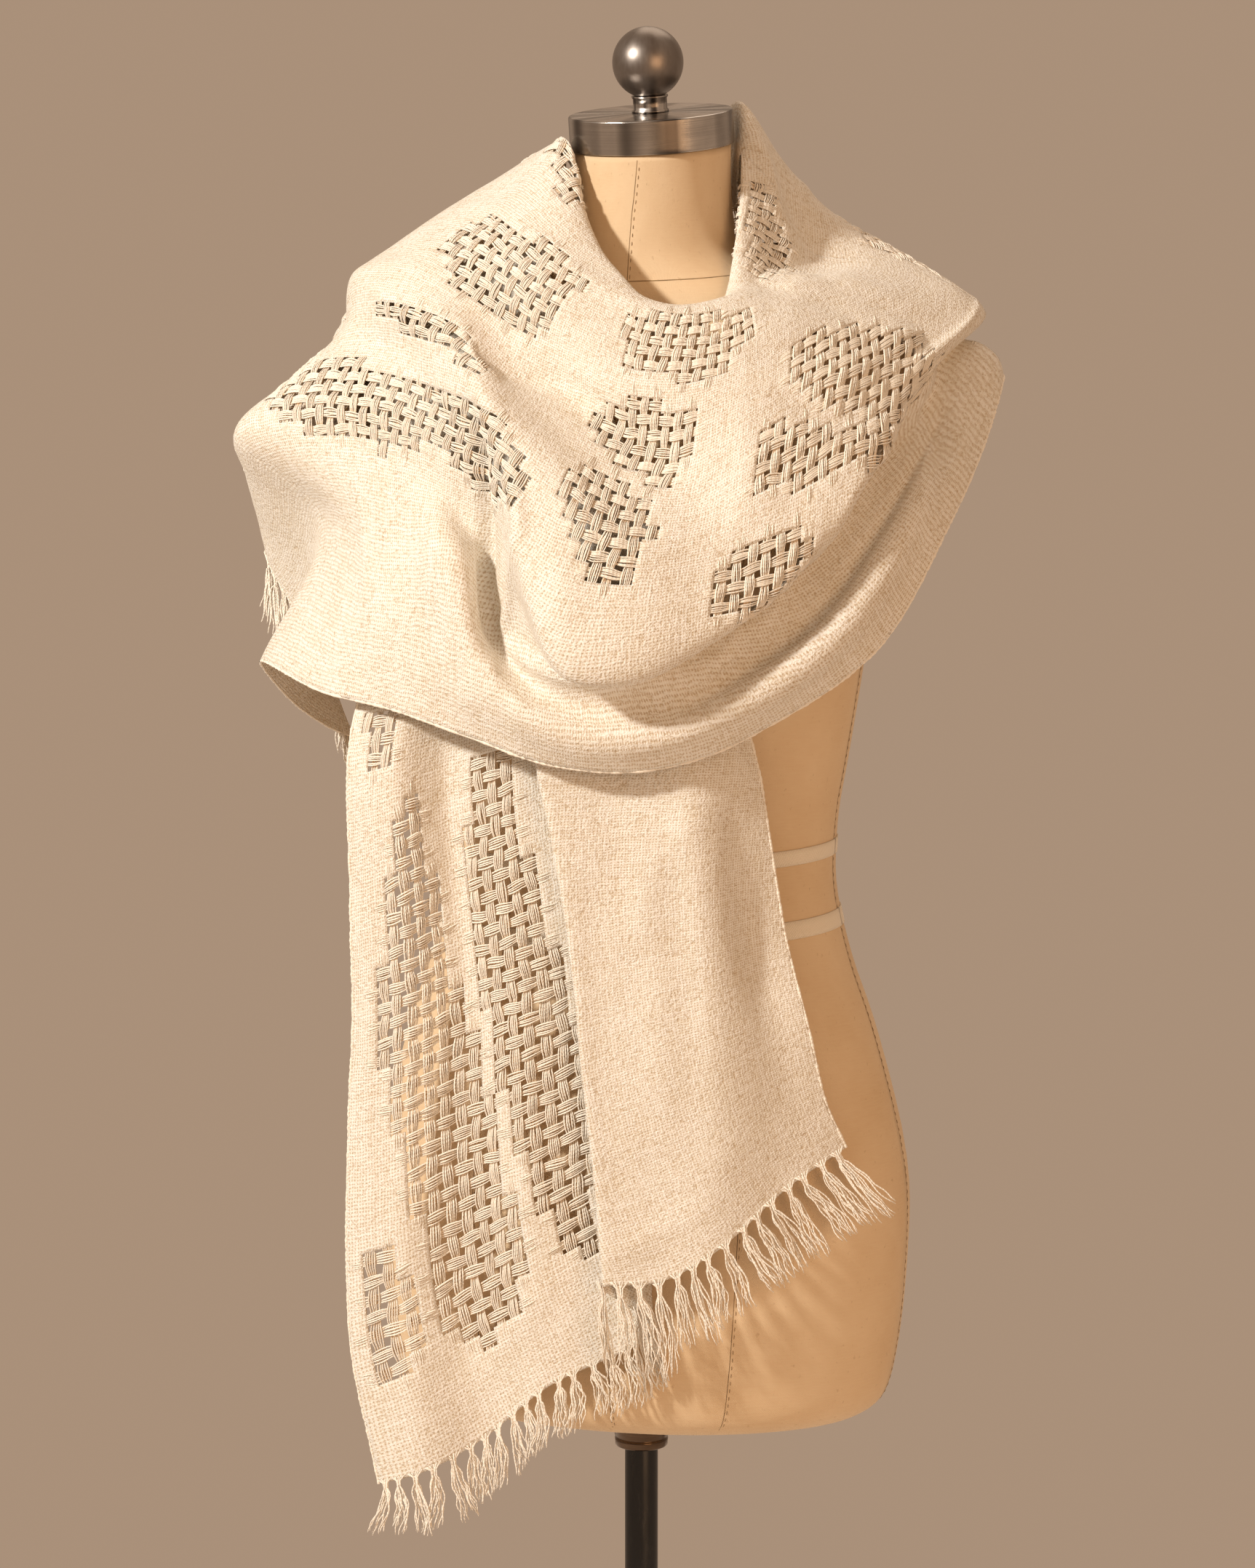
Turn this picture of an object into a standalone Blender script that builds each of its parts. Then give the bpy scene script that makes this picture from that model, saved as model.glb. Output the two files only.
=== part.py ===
"""Lace shawl wound round a limbless dress form on a pole stand. Metres, Z up, floor at z = 0.
The shawl is one long cloth. SECTIONS crosses it from its neck edge to its hem, one row per section,
from the fringed front end to the fringed end behind the shoulder."""
import bpy
import math
import numpy as np

for old in list(bpy.data.objects):
    bpy.data.objects.remove(old, do_unlink=True)

MM = 0.001
WALL = 0.0018
PART = 0.00015
TURN = math.radians(-15.0)
ASIDE = 0.31
NECK = (0.0495, 1.428)
FORWARD, SIDEWAYS = math.radians(9.5), math.radians(3.2)
EYE = (-0.0093, -2.5, 1.289)

# Dress form sections: height, half width, depth in front, depth behind, forward lean of the centre
FORM = [
    (0.605, 0.136, 0.080, 0.100, 0.0), (0.609, 0.150, 0.089, 0.112, 0.0),
    (0.620, 0.163, 0.098, 0.125, 0.0), (0.650, 0.171, 0.104, 0.132, 0.0),
    (0.710, 0.177, 0.108, 0.137, 0.0), (0.770, 0.177, 0.106, 0.134, 0.0),
    (0.860, 0.156, 0.100, 0.112, 0.0), (0.910, 0.139, 0.092, 0.096, 0.0),
    (0.956, 0.129, 0.085, 0.086, 0.0), (1.000, 0.130, 0.087, 0.090, 0.0),
    (1.036, 0.136, 0.093, 0.096, 0.0), (1.086, 0.144, 0.108, 0.105, 0.0),
    (1.146, 0.153, 0.133, 0.110, 0.0), (1.206, 0.165, 0.115, 0.114, 0.0),
    (1.256, 0.176, 0.095, 0.108, 0.0), (1.286, 0.181, 0.080, 0.096, 0.0),
    (1.301, 0.173, 0.068, 0.084, 0.001), (1.316, 0.150, 0.061, 0.074, 0.002),
    (1.336, 0.108, 0.056, 0.065, 0.004), (1.350, 0.078, 0.054, 0.060, 0.006),
    (1.362, 0.063, 0.053, 0.057, 0.008), (1.380, 0.056, 0.0525, 0.053, 0.011),
    (1.405, 0.0520, 0.0510, 0.0510, 0.016), (1.428, 0.0500, 0.0500, 0.0500, 0.021),
]

# Fold lines across the cloth, from the neck edge to the hem
LINES = ("neck edge", "collar fold", "neck roll", "upper fall", "upper valley", "middle ridge",
         "pocket", "under fold", "valley", "border", "hem")
# One row per section of the cloth. Each entry is where a fold line crosses the section: x and z as they
# show on the plane of the pole from 2.5 m in front, then the depth y, all in millimetres.
SECTIONS = {
    "front end edge": [(135, 776, -104), (98, 750, -120), (50, 706, -137), (12, 685, -134),
                       (-26, 681, -133), (-8, 668, -125), (8, 652, -117), (-62, 614, -109),
                       (-105, 579, -92), (-145, 556, -97), (-175, 548, -82)],
    "front end low": [(122, 805, -108), (90, 792, -120), (48, 772, -137), (8, 756, -134), (-32, 752, -133),
                      (-12, 740, -125), (4, 728, -117), (-76, 700, -109), (-118, 672, -92),
                      (-156, 655, -98), (-193, 645, -80)],
    "front end": [(110, 855, -112), (82, 848, -120), (44, 838, -137), (4, 828, -134), (-40, 826, -133),
                  (-18, 818, -125), (-4, 810, -117), (-80, 795, -109), (-121, 780, -92), (-158, 768, -98),
                  (-194, 762, -80)],
    "below waist": [(95, 915, -108), (72, 912, -116), (40, 908, -136), (0, 904, -131), (-47, 902, -131),
                    (-26, 897, -122), (-12, 892, -114), (-82, 885, -107), (-122, 876, -92),
                    (-158, 868, -100), (-190, 862, -82)],
    "waist": [(84, 980, -112), (64, 980, -122), (34, 980, -137), (-8, 978, -131), (-59, 978, -130),
              (-38, 976, -121), (-24, 974, -114), (-87, 968, -107), (-126, 962, -93), (-159, 956, -102),
              (-191, 950, -85)],
    "under the hem": [(73, 1040, -116), (54, 1040, -129), (26, 1040, -138), (-16, 1040, -131),
                      (-70, 1040, -130), (-50, 1040, -121), (-38, 1040, -113), (-92, 1040, -106),
                      (-128, 1040, -94), (-160, 1040, -102), (-191, 1040, -88)],
    "under chest": [(40, 1130, -128), (22, 1130, -130), (0, 1130, -130), (-30, 1130, -136),
                    (-62, 1130, -131), (-64, 1130, -121), (-68, 1130, -112), (-90, 1130, -106),
                    (-112, 1130, -90), (-140, 1130, -84), (-172, 1130, -70)],
    "under fold": [(-12, 1240, -100), (-24, 1240, -98), (-38, 1240, -95), (-52, 1240, -92),
                   (-70, 1240, -92), (-80, 1240, -87), (-92, 1240, -82), (-108, 1238, -78),
                   (-126, 1234, -70), (-146, 1228, -58), (-172, 1220, -42)],
    "left shoulder front": [(-52, 1335, -42), (-60, 1336, -44), (-69, 1334, -45), (-79, 1331, -46),
                            (-90, 1328, -46), (-101, 1324, -45), (-113, 1320, -43), (-126, 1316, -40),
                            (-140, 1310, -36), (-156, 1303, -30), (-174, 1290, -22)],
    "left shoulder": [(-56, 1372, 10), (-63, 1368, 12), (-71, 1362, 14), (-80, 1356, 17), (-92, 1349, 18),
                      (-104, 1343, 18), (-117, 1337, 18), (-131, 1331, 18), (-146, 1324, 18),
                      (-162, 1315, 18), (-182, 1300, 18)],
    "back left": [(-36, 1384, 46), (-40, 1402, 52), (-54, 1390, 66), (-70, 1368, 76), (-86, 1350, 86),
                  (-104, 1318, 94), (-120, 1282, 100), (-134, 1240, 103), (-146, 1196, 104),
                  (-154, 1150, 100), (-158, 1104, 92)],
    "back": [(4, 1392, 54), (4, 1436, 56), (4, 1416, 74), (4, 1386, 88), (4, 1350, 102), (4, 1312, 114),
             (4, 1270, 122), (4, 1226, 126), (4, 1178, 127), (4, 1128, 120), (4, 1078, 110)],
    "back right": [(44, 1392, 40), (46, 1446, 44), (70, 1418, 58), (92, 1390, 72), (112, 1360, 84),
                   (128, 1326, 92), (138, 1288, 97), (144, 1246, 99), (146, 1200, 98), (144, 1156, 92),
                   (138, 1104, 84)],
    "right shoulder back": [(57, 1415, 18), (63, 1457, 2), (92, 1418, 16), (118, 1390, 32),
                            (144, 1370, 42), (168, 1348, 48), (188, 1318, 50), (194, 1292, 50),
                            (202, 1264, 50), (204, 1238, 50), (196, 1205, 48)],
    "right shoulder": [(56, 1390, 2), (64, 1424, -22), (108, 1362, -14), (150, 1357, -4), (182, 1348, 0),
                       (205, 1338, 0), (221, 1323, 0), (206, 1306, 5), (218, 1303, 4), (229, 1295, 3),
                       (233, 1283, 3)],
    "right arm": [(56, 1342, -34), (61, 1374, -52), (84, 1346, -56), (118, 1343, -54), (146, 1329, -58),
                  (168, 1308, -64), (184, 1285, -72), (172, 1274, -52), (186, 1258, -58), (202, 1250, -58),
                  (222, 1240, -50)],
    "right chest": [(44, 1304, -70), (48, 1322, -80), (56, 1334, -92), (86, 1314, -108), (112, 1288, -120),
                    (134, 1260, -130), (150, 1228, -136), (136, 1216, -108), (152, 1192, -114),
                    (172, 1192, -118), (198, 1184, -100)],
    "right of middle": [(12, 1286, -94), (17, 1308, -94), (26, 1328, -102), (52, 1290, -128),
                        (74, 1248, -146), (92, 1202, -160), (100, 1153, -170), (84, 1144, -140),
                        (102, 1116, -144), (124, 1118, -150), (155, 1108, -128)],
    "near middle": [(-6, 1292, -91), (-3, 1313, -91), (1, 1333, -100), (18, 1282, -130), (30, 1226, -148),
                    (40, 1166, -176), (44, 1110, -186), (32, 1108, -152), (46, 1086, -152),
                    (60, 1074, -160), (88, 1059, -140)],
    "middle": [(-16, 1308, -83), (-15, 1328, -83), (-12, 1346, -93), (-14, 1286, -124), (-6, 1236, -134),
               (-4, 1164, -184), (-2, 1086, -194), (-6, 1090, -158), (-2, 1068, -154), (6, 1058, -164),
               (12, 1029, -148)],
    "left of middle": [(-27, 1334, -72), (-28, 1350, -73), (-26, 1363, -83), (-46, 1310, -112),
                       (-42, 1262, -116), (-50, 1192, -172), (-50, 1089, -192), (-54, 1094, -156),
                       (-58, 1074, -148), (-56, 1060, -160), (-58, 1030, -145)],
    "left chest": [(-38, 1364, -56), (-39, 1377, -58), (-37, 1388, -70), (-72, 1338, -98),
                   (-82, 1294, -102), (-84, 1252, -138), (-76, 1140, -176), (-82, 1140, -140),
                   (-92, 1112, -122), (-104, 1098, -146), (-112, 1048, -130)],
    "left of chest": [(-43, 1390, -42), (-42, 1407, -49), (-41, 1414, -56), (-88, 1368, -76),
                      (-114, 1332, -84), (-114, 1302, -110), (-90, 1200, -146), (-99, 1192, -124),
                      (-108, 1178, -114), (-124, 1172, -130), (-162, 1066, -112)],
    "left arm": [(-48, 1406, -24), (-44, 1420, -35), (-43, 1434, -42), (-92, 1396, -38), (-142, 1358, -52),
                 (-152, 1330, -74), (-132, 1256, -104), (-149, 1248, -98), (-168, 1237, -88),
                 (-170, 1170, -98), (-208, 1078, -84)],
    "left silhouette": [(-50, 1398, 6), (-51, 1413, 2), (-54, 1428, -8), (-98, 1406, 6), (-160, 1366, 0),
                        (-187, 1344, -10), (-191, 1315, -22), (-222, 1284, -24), (-262, 1246, -20),
                        (-207, 1190, -30), (-248, 1098, -16)],
    "behind left": [(-57, 1374, 78), (-60, 1387, 84), (-68, 1398, 90), (-102, 1370, 90), (-148, 1334, 80),
                    (-172, 1306, 64), (-188, 1282, 46), (-218, 1262, 34), (-257, 1224, 20),
                    (-214, 1166, 16), (-228, 1072, 36)],
    "second end": [(-38, 1318, 134), (-54, 1322, 138), (-72, 1318, 138), (-102, 1304, 134),
                   (-134, 1286, 126), (-162, 1268, 116), (-190, 1252, 100), (-220, 1232, 82),
                   (-250, 1198, 56), (-216, 1136, 50), (-206, 1056, 66)],
    "second end edge": [(-28, 1190, 152), (-48, 1184, 153), (-70, 1179, 152), (-98, 1174, 148),
                        (-128, 1170, 141), (-156, 1167, 132), (-184, 1165, 119), (-213, 1166, 100),
                        (-243, 1168, 74), (-214, 1112, 70), (-188, 1048, 88)],
}
NAMES = list(SECTIONS)


def real(entry):
    """Real place of a point that shows at x, z on the pole plane and lies at depth y."""
    x, z, y = (value * MM for value in entry)
    k = (y - EYE[1]) / -EYE[1]
    return (EYE[0] + (x - EYE[0]) * k, y, EYE[2] + (z - EYE[2]) * k)


def curve(points, places):
    """Smooth curve through the points (first axis), read at the places 0 .. n - 1, without overshoot."""
    points = np.asarray(points, float)
    last = len(points) - 1
    places = np.clip(np.asarray(places, float), 0, last)
    i = np.minimum(places.astype(int), last - 1)
    t = (places - i).reshape((-1,) + (1,) * (points.ndim - 1))
    ends = np.concatenate([[2 * points[0] - points[1]], points, [2 * points[-1] - points[-2]]])
    far = np.sqrt(np.linalg.norm(np.diff(ends, axis=0), axis=-1, keepdims=True)) + 1e-6
    a, b, c, d = ends[i], ends[i + 1], ends[i + 2], ends[i + 3]
    ab, bc, cd = far[i], far[i + 1], far[i + 2]
    m = (c - b) + bc * ((b - a) / ab - (c - a) / (ab + bc))
    n = (c - b) + bc * ((d - c) / cd - (d - b) / (bc + cd))
    return b + m * t + (3 * (c - b) - 2 * m - n) * t ** 2 + (2 * (b - c) + m + n) * t ** 3


FORM_FINE = curve(FORM, np.linspace(0, len(FORM) - 1, 4 * (len(FORM) - 1) + 1))


def form_level(p):
    """0 on the skin of the dress form, below 0 inside it."""
    c, s = math.cos(TURN), math.sin(TURN)
    half, front, behind, lean = (np.interp(p[..., 2], FORM_FINE[:, 0], FORM_FINE[:, k]) for k in (1, 2, 3, 4))
    px, py = p[..., 0] - lean * ASIDE, p[..., 1] + lean
    x, y = px * c + py * s, -px * s + py * c
    return np.sqrt((x / half) ** 2 + (y / np.where(y < 0, front, behind)) ** 2) - 1


def outside(p, gap):
    """Moves points that are nearer to the form than the gap out along its skin's direction."""
    p = p.copy()
    for _ in range(6):
        level, h = form_level(p), 0.0005
        slope = np.stack([(form_level(p + h * e) - form_level(p - h * e)) / (2 * h) for e in np.eye(3)], -1)
        size = np.linalg.norm(slope, axis=-1) + 1e-9
        push = np.maximum(gap - level / size, 0)
        p += slope / size[..., None] * push[..., None]
    return p


CONTROL = np.array([[real(entry) for entry in SECTIONS[name]] for name in NAMES])
# Room between the form and the middle of the cloth: section, millimetres
ROOM = [(0, 5), (5, 5), (7, 9), (8, 13), (9, 18), (10, 11), (14, 9), (15, 11), (16, 13), (24, 14), (25, 20), (27, 22)]
# Places across the cloth where the solids have an edge, closer together at the folds
ACROSS = [0, 0.4, 0.8, 1.0, 1.25, 1.6, 2.0, 2.5, 3.0, 3.5, 3.85, 4.1, 4.4, 5.0, 5.5, 5.8, 6.05, 6.3, 6.7, 7.2,
          7.8, 8.3, 8.9, 9.45, 10]


def cloth(u, v):
    """Middle of the cloth at places u along it and v across it."""
    rows = curve(CONTROL, u)
    grid = curve(rows.transpose(1, 0, 2), v).transpose(1, 0, 2)
    room = np.interp(u, *np.transpose(ROOM))[:, None]
    inner = np.interp(v, [0, 1.3, 2.6], [0, 0, 1])[None, :]
    return outside(grid, (5 + (room - 5) * inner) * MM)


def normals(u, v):
    u, v, h = np.asarray(u, float), np.asarray(v, float), 0.02
    du = cloth(u + h, v) - cloth(u - h, v)
    dv = cloth(u, v + h) - cloth(u, v - h)
    n = np.cross(du, dv)
    return n / (np.linalg.norm(n, axis=-1, keepdims=True) + 1e-12)


def mesh_object(name, verts, faces, material):
    mesh = bpy.data.meshes.new(name)
    mesh.from_pydata([tuple(v) for v in verts], [], faces)
    mesh.validate()
    obj = bpy.data.objects.new(name, mesh)
    bpy.context.scene.collection.objects.link(obj)
    mesh.materials.append(material)
    return obj


def material(name, colour, rough, metallic=0.0):
    made = bpy.data.materials.new(name)
    made.use_nodes = True
    shader = made.node_tree.nodes["Principled BSDF"]
    shader.inputs["Base Color"].default_value = (*colour, 1)
    shader.inputs["Roughness"].default_value = rough
    shader.inputs["Metallic"].default_value = metallic
    made.diffuse_color = (*colour, 1)
    return made


def slab(name, grid, n, wall, made):
    """Closed wall of even thickness round a grid of points."""
    a, b = grid.shape[:2]
    verts = np.concatenate([(grid + n * wall / 2).reshape(-1, 3), (grid - n * wall / 2).reshape(-1, 3)])
    faces = []
    at = lambda i, j, side: side * a * b + i * b + j
    for i in range(a - 1):
        for j in range(b - 1):
            faces.append((at(i, j, 0), at(i + 1, j, 0), at(i + 1, j + 1, 0), at(i, j + 1, 0)))
            faces.append((at(i, j, 1), at(i, j + 1, 1), at(i + 1, j + 1, 1), at(i + 1, j, 1)))
    ring = [(i, 0) for i in range(a)] + [(a - 1, j) for j in range(1, b)]
    ring += [(i, b - 1) for i in range(a - 2, -1, -1)] + [(0, j) for j in range(b - 2, 0, -1)]
    for k, here in enumerate(ring):
        there = ring[(k + 1) % len(ring)]
        faces.append((at(*there, 0), at(*here, 0), at(*here, 1), at(*there, 1)))
    return mesh_object(name, verts, faces, made)


def along(place, inward):
    """Points, normals and the way along the cloth at one section, for the cut there."""
    u = [place]
    way = (cloth([place + 0.02], ACROSS) - cloth([place], ACROSS))[0] if inward > 0 else \
        (cloth([place - 0.02], ACROSS) - cloth([place], ACROSS))[0]
    return cloth(u, ACROSS)[0], normals(u, ACROSS)[0], way / np.linalg.norm(way, axis=-1, keepdims=True)


def stretch(name, first, last, count, start, made):
    """One stretch of the cloth, its two cut ends drawn back for the parting."""
    u, v = np.linspace(first, last, count + 1), ACROSS[start:]
    grid, n = cloth(u, v), normals(u, v)
    grid[0] += along(first, 1)[2][start:] * PART * (2 if first == 24 else 1)
    grid[-1] += along(last, -1)[2][start:] * PART * (2 if last == 24 else 1)
    return slab(name, grid, n, WALL, made)


def fringe(name, place, inward, low, high, hang, made):
    """Strip along a fringed end between the places low and high across the cloth, with strands drawn out
    of every second cell of its lower face. hang: place across, then down, right and back, in mm."""
    p, n, way = along(place, inward)
    keep = [k for k, v in enumerate(ACROSS) if low - 1e-6 <= v <= high + 1e-6]
    mid, nor, out, spot = [], [], [], []
    for a, b in zip(keep, keep[1:]):
        cells = max(2, 2 * round(np.linalg.norm(p[b] - p[a]) / 0.0088))
        for t in np.arange(cells) / cells:
            mid.append(p[a] + (p[b] - p[a]) * t)
            nor.append(n[a] + (n[b] - n[a]) * t)
            out.append(-way[a] - (way[b] - way[a]) * t)
            spot.append(ACROSS[a] + (ACROSS[b] - ACROSS[a]) * t)
    mid.append(p[keep[-1]]), nor.append(n[keep[-1]]), out.append(-way[keep[-1]]), spot.append(ACROSS[keep[-1]])
    mid, nor, out, t = np.array(mid), np.array(nor), np.array(out), WALL / 2
    verts, faces = [], []
    for m, k, o in zip(mid, nor, out):
        verts += [m + o * PART + k * t, m + o * PART - k * t, m + o * 0.005 - k * t, m + o * 0.005 + k * t]
    cells = len(mid) - 1
    faces += [(0, 1, 2, 3), tuple(4 * cells + q for q in (3, 2, 1, 0))]
    table = np.array(hang)
    for k in range(cells):
        p, q = 4 * k, 4 * k + 4
        faces += [(p, q, q + 1, p + 1), (p + 1, q + 1, q + 2, p + 2), (p + 3, q + 3, q, p)]
        lower = (p + 2, q + 2, q + 3, p + 3)
        if k % 2 == 0 or k == cells - 1:
            faces.append(lower)
            continue
        down, right, back = (np.interp(spot[k], table[:, 0], table[:, c]) for c in (1, 2, 3))
        down *= 1 + 0.12 * math.sin(2.3 * k)
        centre = np.mean([verts[i] for i in lower], axis=0)
        here = lower
        for share, width in ((0.45, 0.72), (1.0, 0.5)):
            drop = np.array([right * share ** 1.3 + 1.2 * math.sin(1.7 * k) * share, back * share,
                             -down * share]) * MM
            start = len(verts)
            verts += [centre + drop + (np.array(verts[i]) - centre) * width for i in lower]
            for c in range(4):
                d = (c + 1) % 4
                faces.append((here[c], here[d], start + d, start + c))
            here = tuple(range(start, start + 4))
        faces.append(here)
    return mesh_object(name, verts, [face[::-inward] for face in faces], made)


def turned(name, profile, made, sides=32, centre=(0, 0), lean=None):
    """Round part from (radius, height) pairs; closed at both ends."""
    verts, faces = [], []
    for r, z in profile:
        for k in range(sides):
            a = 2 * math.pi * k / sides
            verts.append([centre[0] + r * math.cos(a), centre[1] + r * math.sin(a), z])
    for i in range(len(profile) - 1):
        for k in range(sides):
            m = (k + 1) % sides
            faces.append((i * sides + k, i * sides + m, (i + 1) * sides + m, (i + 1) * sides + k))
    top = (len(profile) - 1) * sides
    faces.append(tuple(range(sides - 1, -1, -1)))
    faces.append(tuple(range(top, top + sides)))
    verts = np.array(verts)
    if lean is not None:
        verts = lean(verts)
    return mesh_object(name, verts, faces, made)


def ring(name, loop, made, sides):
    """Round part with a bore: the loop is its closed outline as (radius, height) pairs."""
    verts, faces, count = [], [], len(loop)
    for k in range(sides):
        a = 2 * math.pi * k / sides
        verts += [(r * math.cos(a), r * math.sin(a), z) for r, z in loop]
    for k in range(sides):
        here, there = k * count, (k + 1) % sides * count
        for i in range(count):
            j = (i + 1) % count
            faces.append((here + i, there + i, there + j, here + j))
    return mesh_object(name, verts, faces, made)


def sideways(name, profile, made, sides):
    """Round part on the screw's axis: (radius, distance from the pole's axis) pairs."""
    a = SCREW_TURN

    def lay(verts):
        out = verts[:, 2:3] * np.array([[math.cos(a), math.sin(a), 0]])
        return out + verts[:, 0:1] * np.array([[-math.sin(a), math.cos(a), 0]]) + \
            verts[:, 1:2] * np.array([[0, 0, 1.0]]) + np.array([[0, 0, SCREW_Z]])
    return turned(name, profile, made, sides, lean=lay)


SCREW_TURN, SCREW_Z = math.radians(12), 0.5895
LINEN = material("cream cotton and linen", (0.86, 0.79, 0.66), 0.9)
CANVAS = material("tan canvas", (0.72, 0.55, 0.34), 0.85)
STEEL = material("brushed steel", (0.62, 0.60, 0.58), 0.32, 1.0)
CHROME = material("dark chrome", (0.30, 0.27, 0.25), 0.12, 1.0)
BRONZE = material("dark metal", (0.16, 0.12, 0.09), 0.4, 1.0)
BLACK = material("gloss black paint", (0.012, 0.012, 0.014), 0.18)
PLASTIC = material("black plastic", (0.02, 0.02, 0.02), 0.5)


def dress_form():
    sides = 36
    heights = curve(FORM, np.linspace(0, len(FORM) - 1, 25))
    verts, faces = [], []
    for z, half, front, behind, lean in heights:
        for k in range(sides):
            a = 2 * math.pi * k / sides
            x, y = half * math.cos(a), (behind if math.sin(a) > 0 else front) * math.sin(a)
            px, py = x * math.cos(TURN) - y * math.sin(TURN), x * math.sin(TURN) + y * math.cos(TURN)
            rise = max(0, (z - 1.385) / (NECK[1] - 1.385)) * (py * math.tan(FORWARD) + px * math.tan(SIDEWAYS))
            verts.append((px + lean * ASIDE, py - lean, z + rise))
    for i in range(len(heights) - 1):
        for k in range(sides):
            m = (k + 1) % sides
            faces.append((i * sides + k, i * sides + m, (i + 1) * sides + m, (i + 1) * sides + k))
    top = (len(heights) - 1) * sides
    faces.append(tuple(range(sides - 1, -1, -1)))
    faces.append(tuple(range(top, top + sides)))
    return mesh_object("dress_form", verts, faces, CANVAS)


def tilt(verts):
    """Leans a part that stands on the neck's top, round the middle of that top."""
    lean = 0.021
    mid = np.array([lean * ASIDE, -lean, NECK[1]])
    a, b = FORWARD, SIDEWAYS
    p = verts - np.array([0, 0, NECK[1]])
    y = p[:, 1] * math.cos(a) - p[:, 2] * math.sin(a)
    z = p[:, 1] * math.sin(a) + p[:, 2] * math.cos(a)
    x = p[:, 0] * math.cos(b) - z * math.sin(b)
    return np.stack([x, y, p[:, 0] * math.sin(b) + z * math.cos(b)], -1) + mid


dress_form()
stretch("front_end", 0, 6.3, 25, 0, LINEN)
stretch("back_wrap", 6.3, 14, 28, 0, LINEN)
stretch("front_swath", 14, 24, 40, 3, LINEN)
stretch("shoulder_end", 24, 27, 10, 3, LINEN)
FRONT_HANG = [(0, 34, 34, 0), (1, 38, 24, 0), (2, 42, 14, 0), (3, 46, 5, 0), (4, 52, 2, 0), (6, 40, 4, 0),
              (8, 40, 4, 0), (10, 42, -6, 0)]
fringe("fringe_front_upper", 0, 1, 0, 3.85, FRONT_HANG, LINEN)
fringe("fringe_front_lower", 0, 1, 6.3, 10, FRONT_HANG, LINEN)
BACK_HANG = [(0, 38, 0, 0), (5, 38, 0, 2), (8, 36, 4, 0), (10, 34, 0, 0)]
fringe("fringe_back", 27, -1, 1, 7.8, BACK_HANG, LINEN)
Z = NECK[1] + 0.0002
turned("neck_cap", [(0.0512, Z + 0.0002), (0.0525, Z + 0.0012), (0.0525, Z + 0.0205), (0.0515, Z + 0.0218),
                    (0.0500, Z + 0.0222)], STEEL, 32, lean=tilt)
turned("knob_stem", [(0.0115, Z + 0.0224), (0.0115, Z + 0.0325)], STEEL, 20, lean=tilt)
BALL = [(0.0226 * math.cos(math.radians(a)), Z + 0.0530 + 0.0226 * math.sin(math.radians(a)))
        for a in (-62, -44, -26, -8, 10, 28, 46, 64, 82)]
turned("knob_ball", [(0.0095, Z + 0.0327)] + BALL, CHROME, 20, lean=tilt)
BORE = 0.01109
ring("pole_socket", [(BORE, 0.5745), (0.0165, 0.5745), (0.0175, 0.5755), (0.0190, 0.6040), (0.0190, 0.6048),
                     (BORE, 0.6048)], BRONZE, 48)
turned("pole", [(0.0107, 0.0147), (0.0110, 0.0150), (0.0110, 0.6038), (0.0105, 0.6043)], BLACK, 48)
turned("base_plate", [(0.1650, 0.0), (0.1665, 0.0015), (0.1665, 0.0075), (0.1640, 0.0100), (0.0300, 0.0130),
                      (0.0200, 0.0145)], BLACK, 40)
sideways("clamp_screw", [(0.0028, 0.0192), (0.0028, 0.0206), (0.0075, 0.0208), (0.0080, 0.0222),
                         (0.0080, 0.0275), (0.0070, 0.0285)], PLASTIC, 18)
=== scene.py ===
"""Looks of the lace shawl on its dress form stand. Metres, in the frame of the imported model."""
import bpy
import math
import numpy as np
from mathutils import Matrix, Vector, noise


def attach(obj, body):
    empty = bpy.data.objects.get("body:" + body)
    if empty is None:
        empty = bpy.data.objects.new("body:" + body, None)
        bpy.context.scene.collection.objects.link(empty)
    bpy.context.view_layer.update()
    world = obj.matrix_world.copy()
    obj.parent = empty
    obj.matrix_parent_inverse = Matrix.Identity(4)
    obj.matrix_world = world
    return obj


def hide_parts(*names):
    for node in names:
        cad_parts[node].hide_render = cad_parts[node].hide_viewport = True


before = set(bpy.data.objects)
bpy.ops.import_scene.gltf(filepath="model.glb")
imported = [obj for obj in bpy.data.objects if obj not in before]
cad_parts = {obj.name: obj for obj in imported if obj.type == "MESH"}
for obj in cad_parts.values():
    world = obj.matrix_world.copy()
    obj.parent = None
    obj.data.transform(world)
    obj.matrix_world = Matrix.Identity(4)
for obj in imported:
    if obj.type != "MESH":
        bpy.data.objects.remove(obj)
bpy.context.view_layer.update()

MM = 0.001
rng = np.random.default_rng(7)

# Camera: the photograph's viewing angle. Places in metres, angles in degrees, lens and frame in millimetres.
EYE = (-0.0093, -2.5, 1.289)
LOOK_DOWN, LENS, FRAME_HEIGHT = 6.2, 88.28, 36.0
view = bpy.data.cameras.new("photo_view")
view.sensor_fit, view.sensor_height, view.lens = "VERTICAL", FRAME_HEIGHT, LENS
camera = bpy.data.objects.new("photo_view", view)
camera.location, camera.rotation_euler = EYE, (math.radians(90 - LOOK_DOWN), 0, 0)
bpy.context.scene.collection.objects.link(camera)
bpy.context.scene.camera = camera

# ------------------------------------------------------------------ the cloth's form, as in its solids
TURN, ASIDE = math.radians(-15.0), 0.31
NECK = (0.0495, 1.428)
FORWARD, SIDEWAYS = math.radians(9.5), math.radians(3.2)
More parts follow.
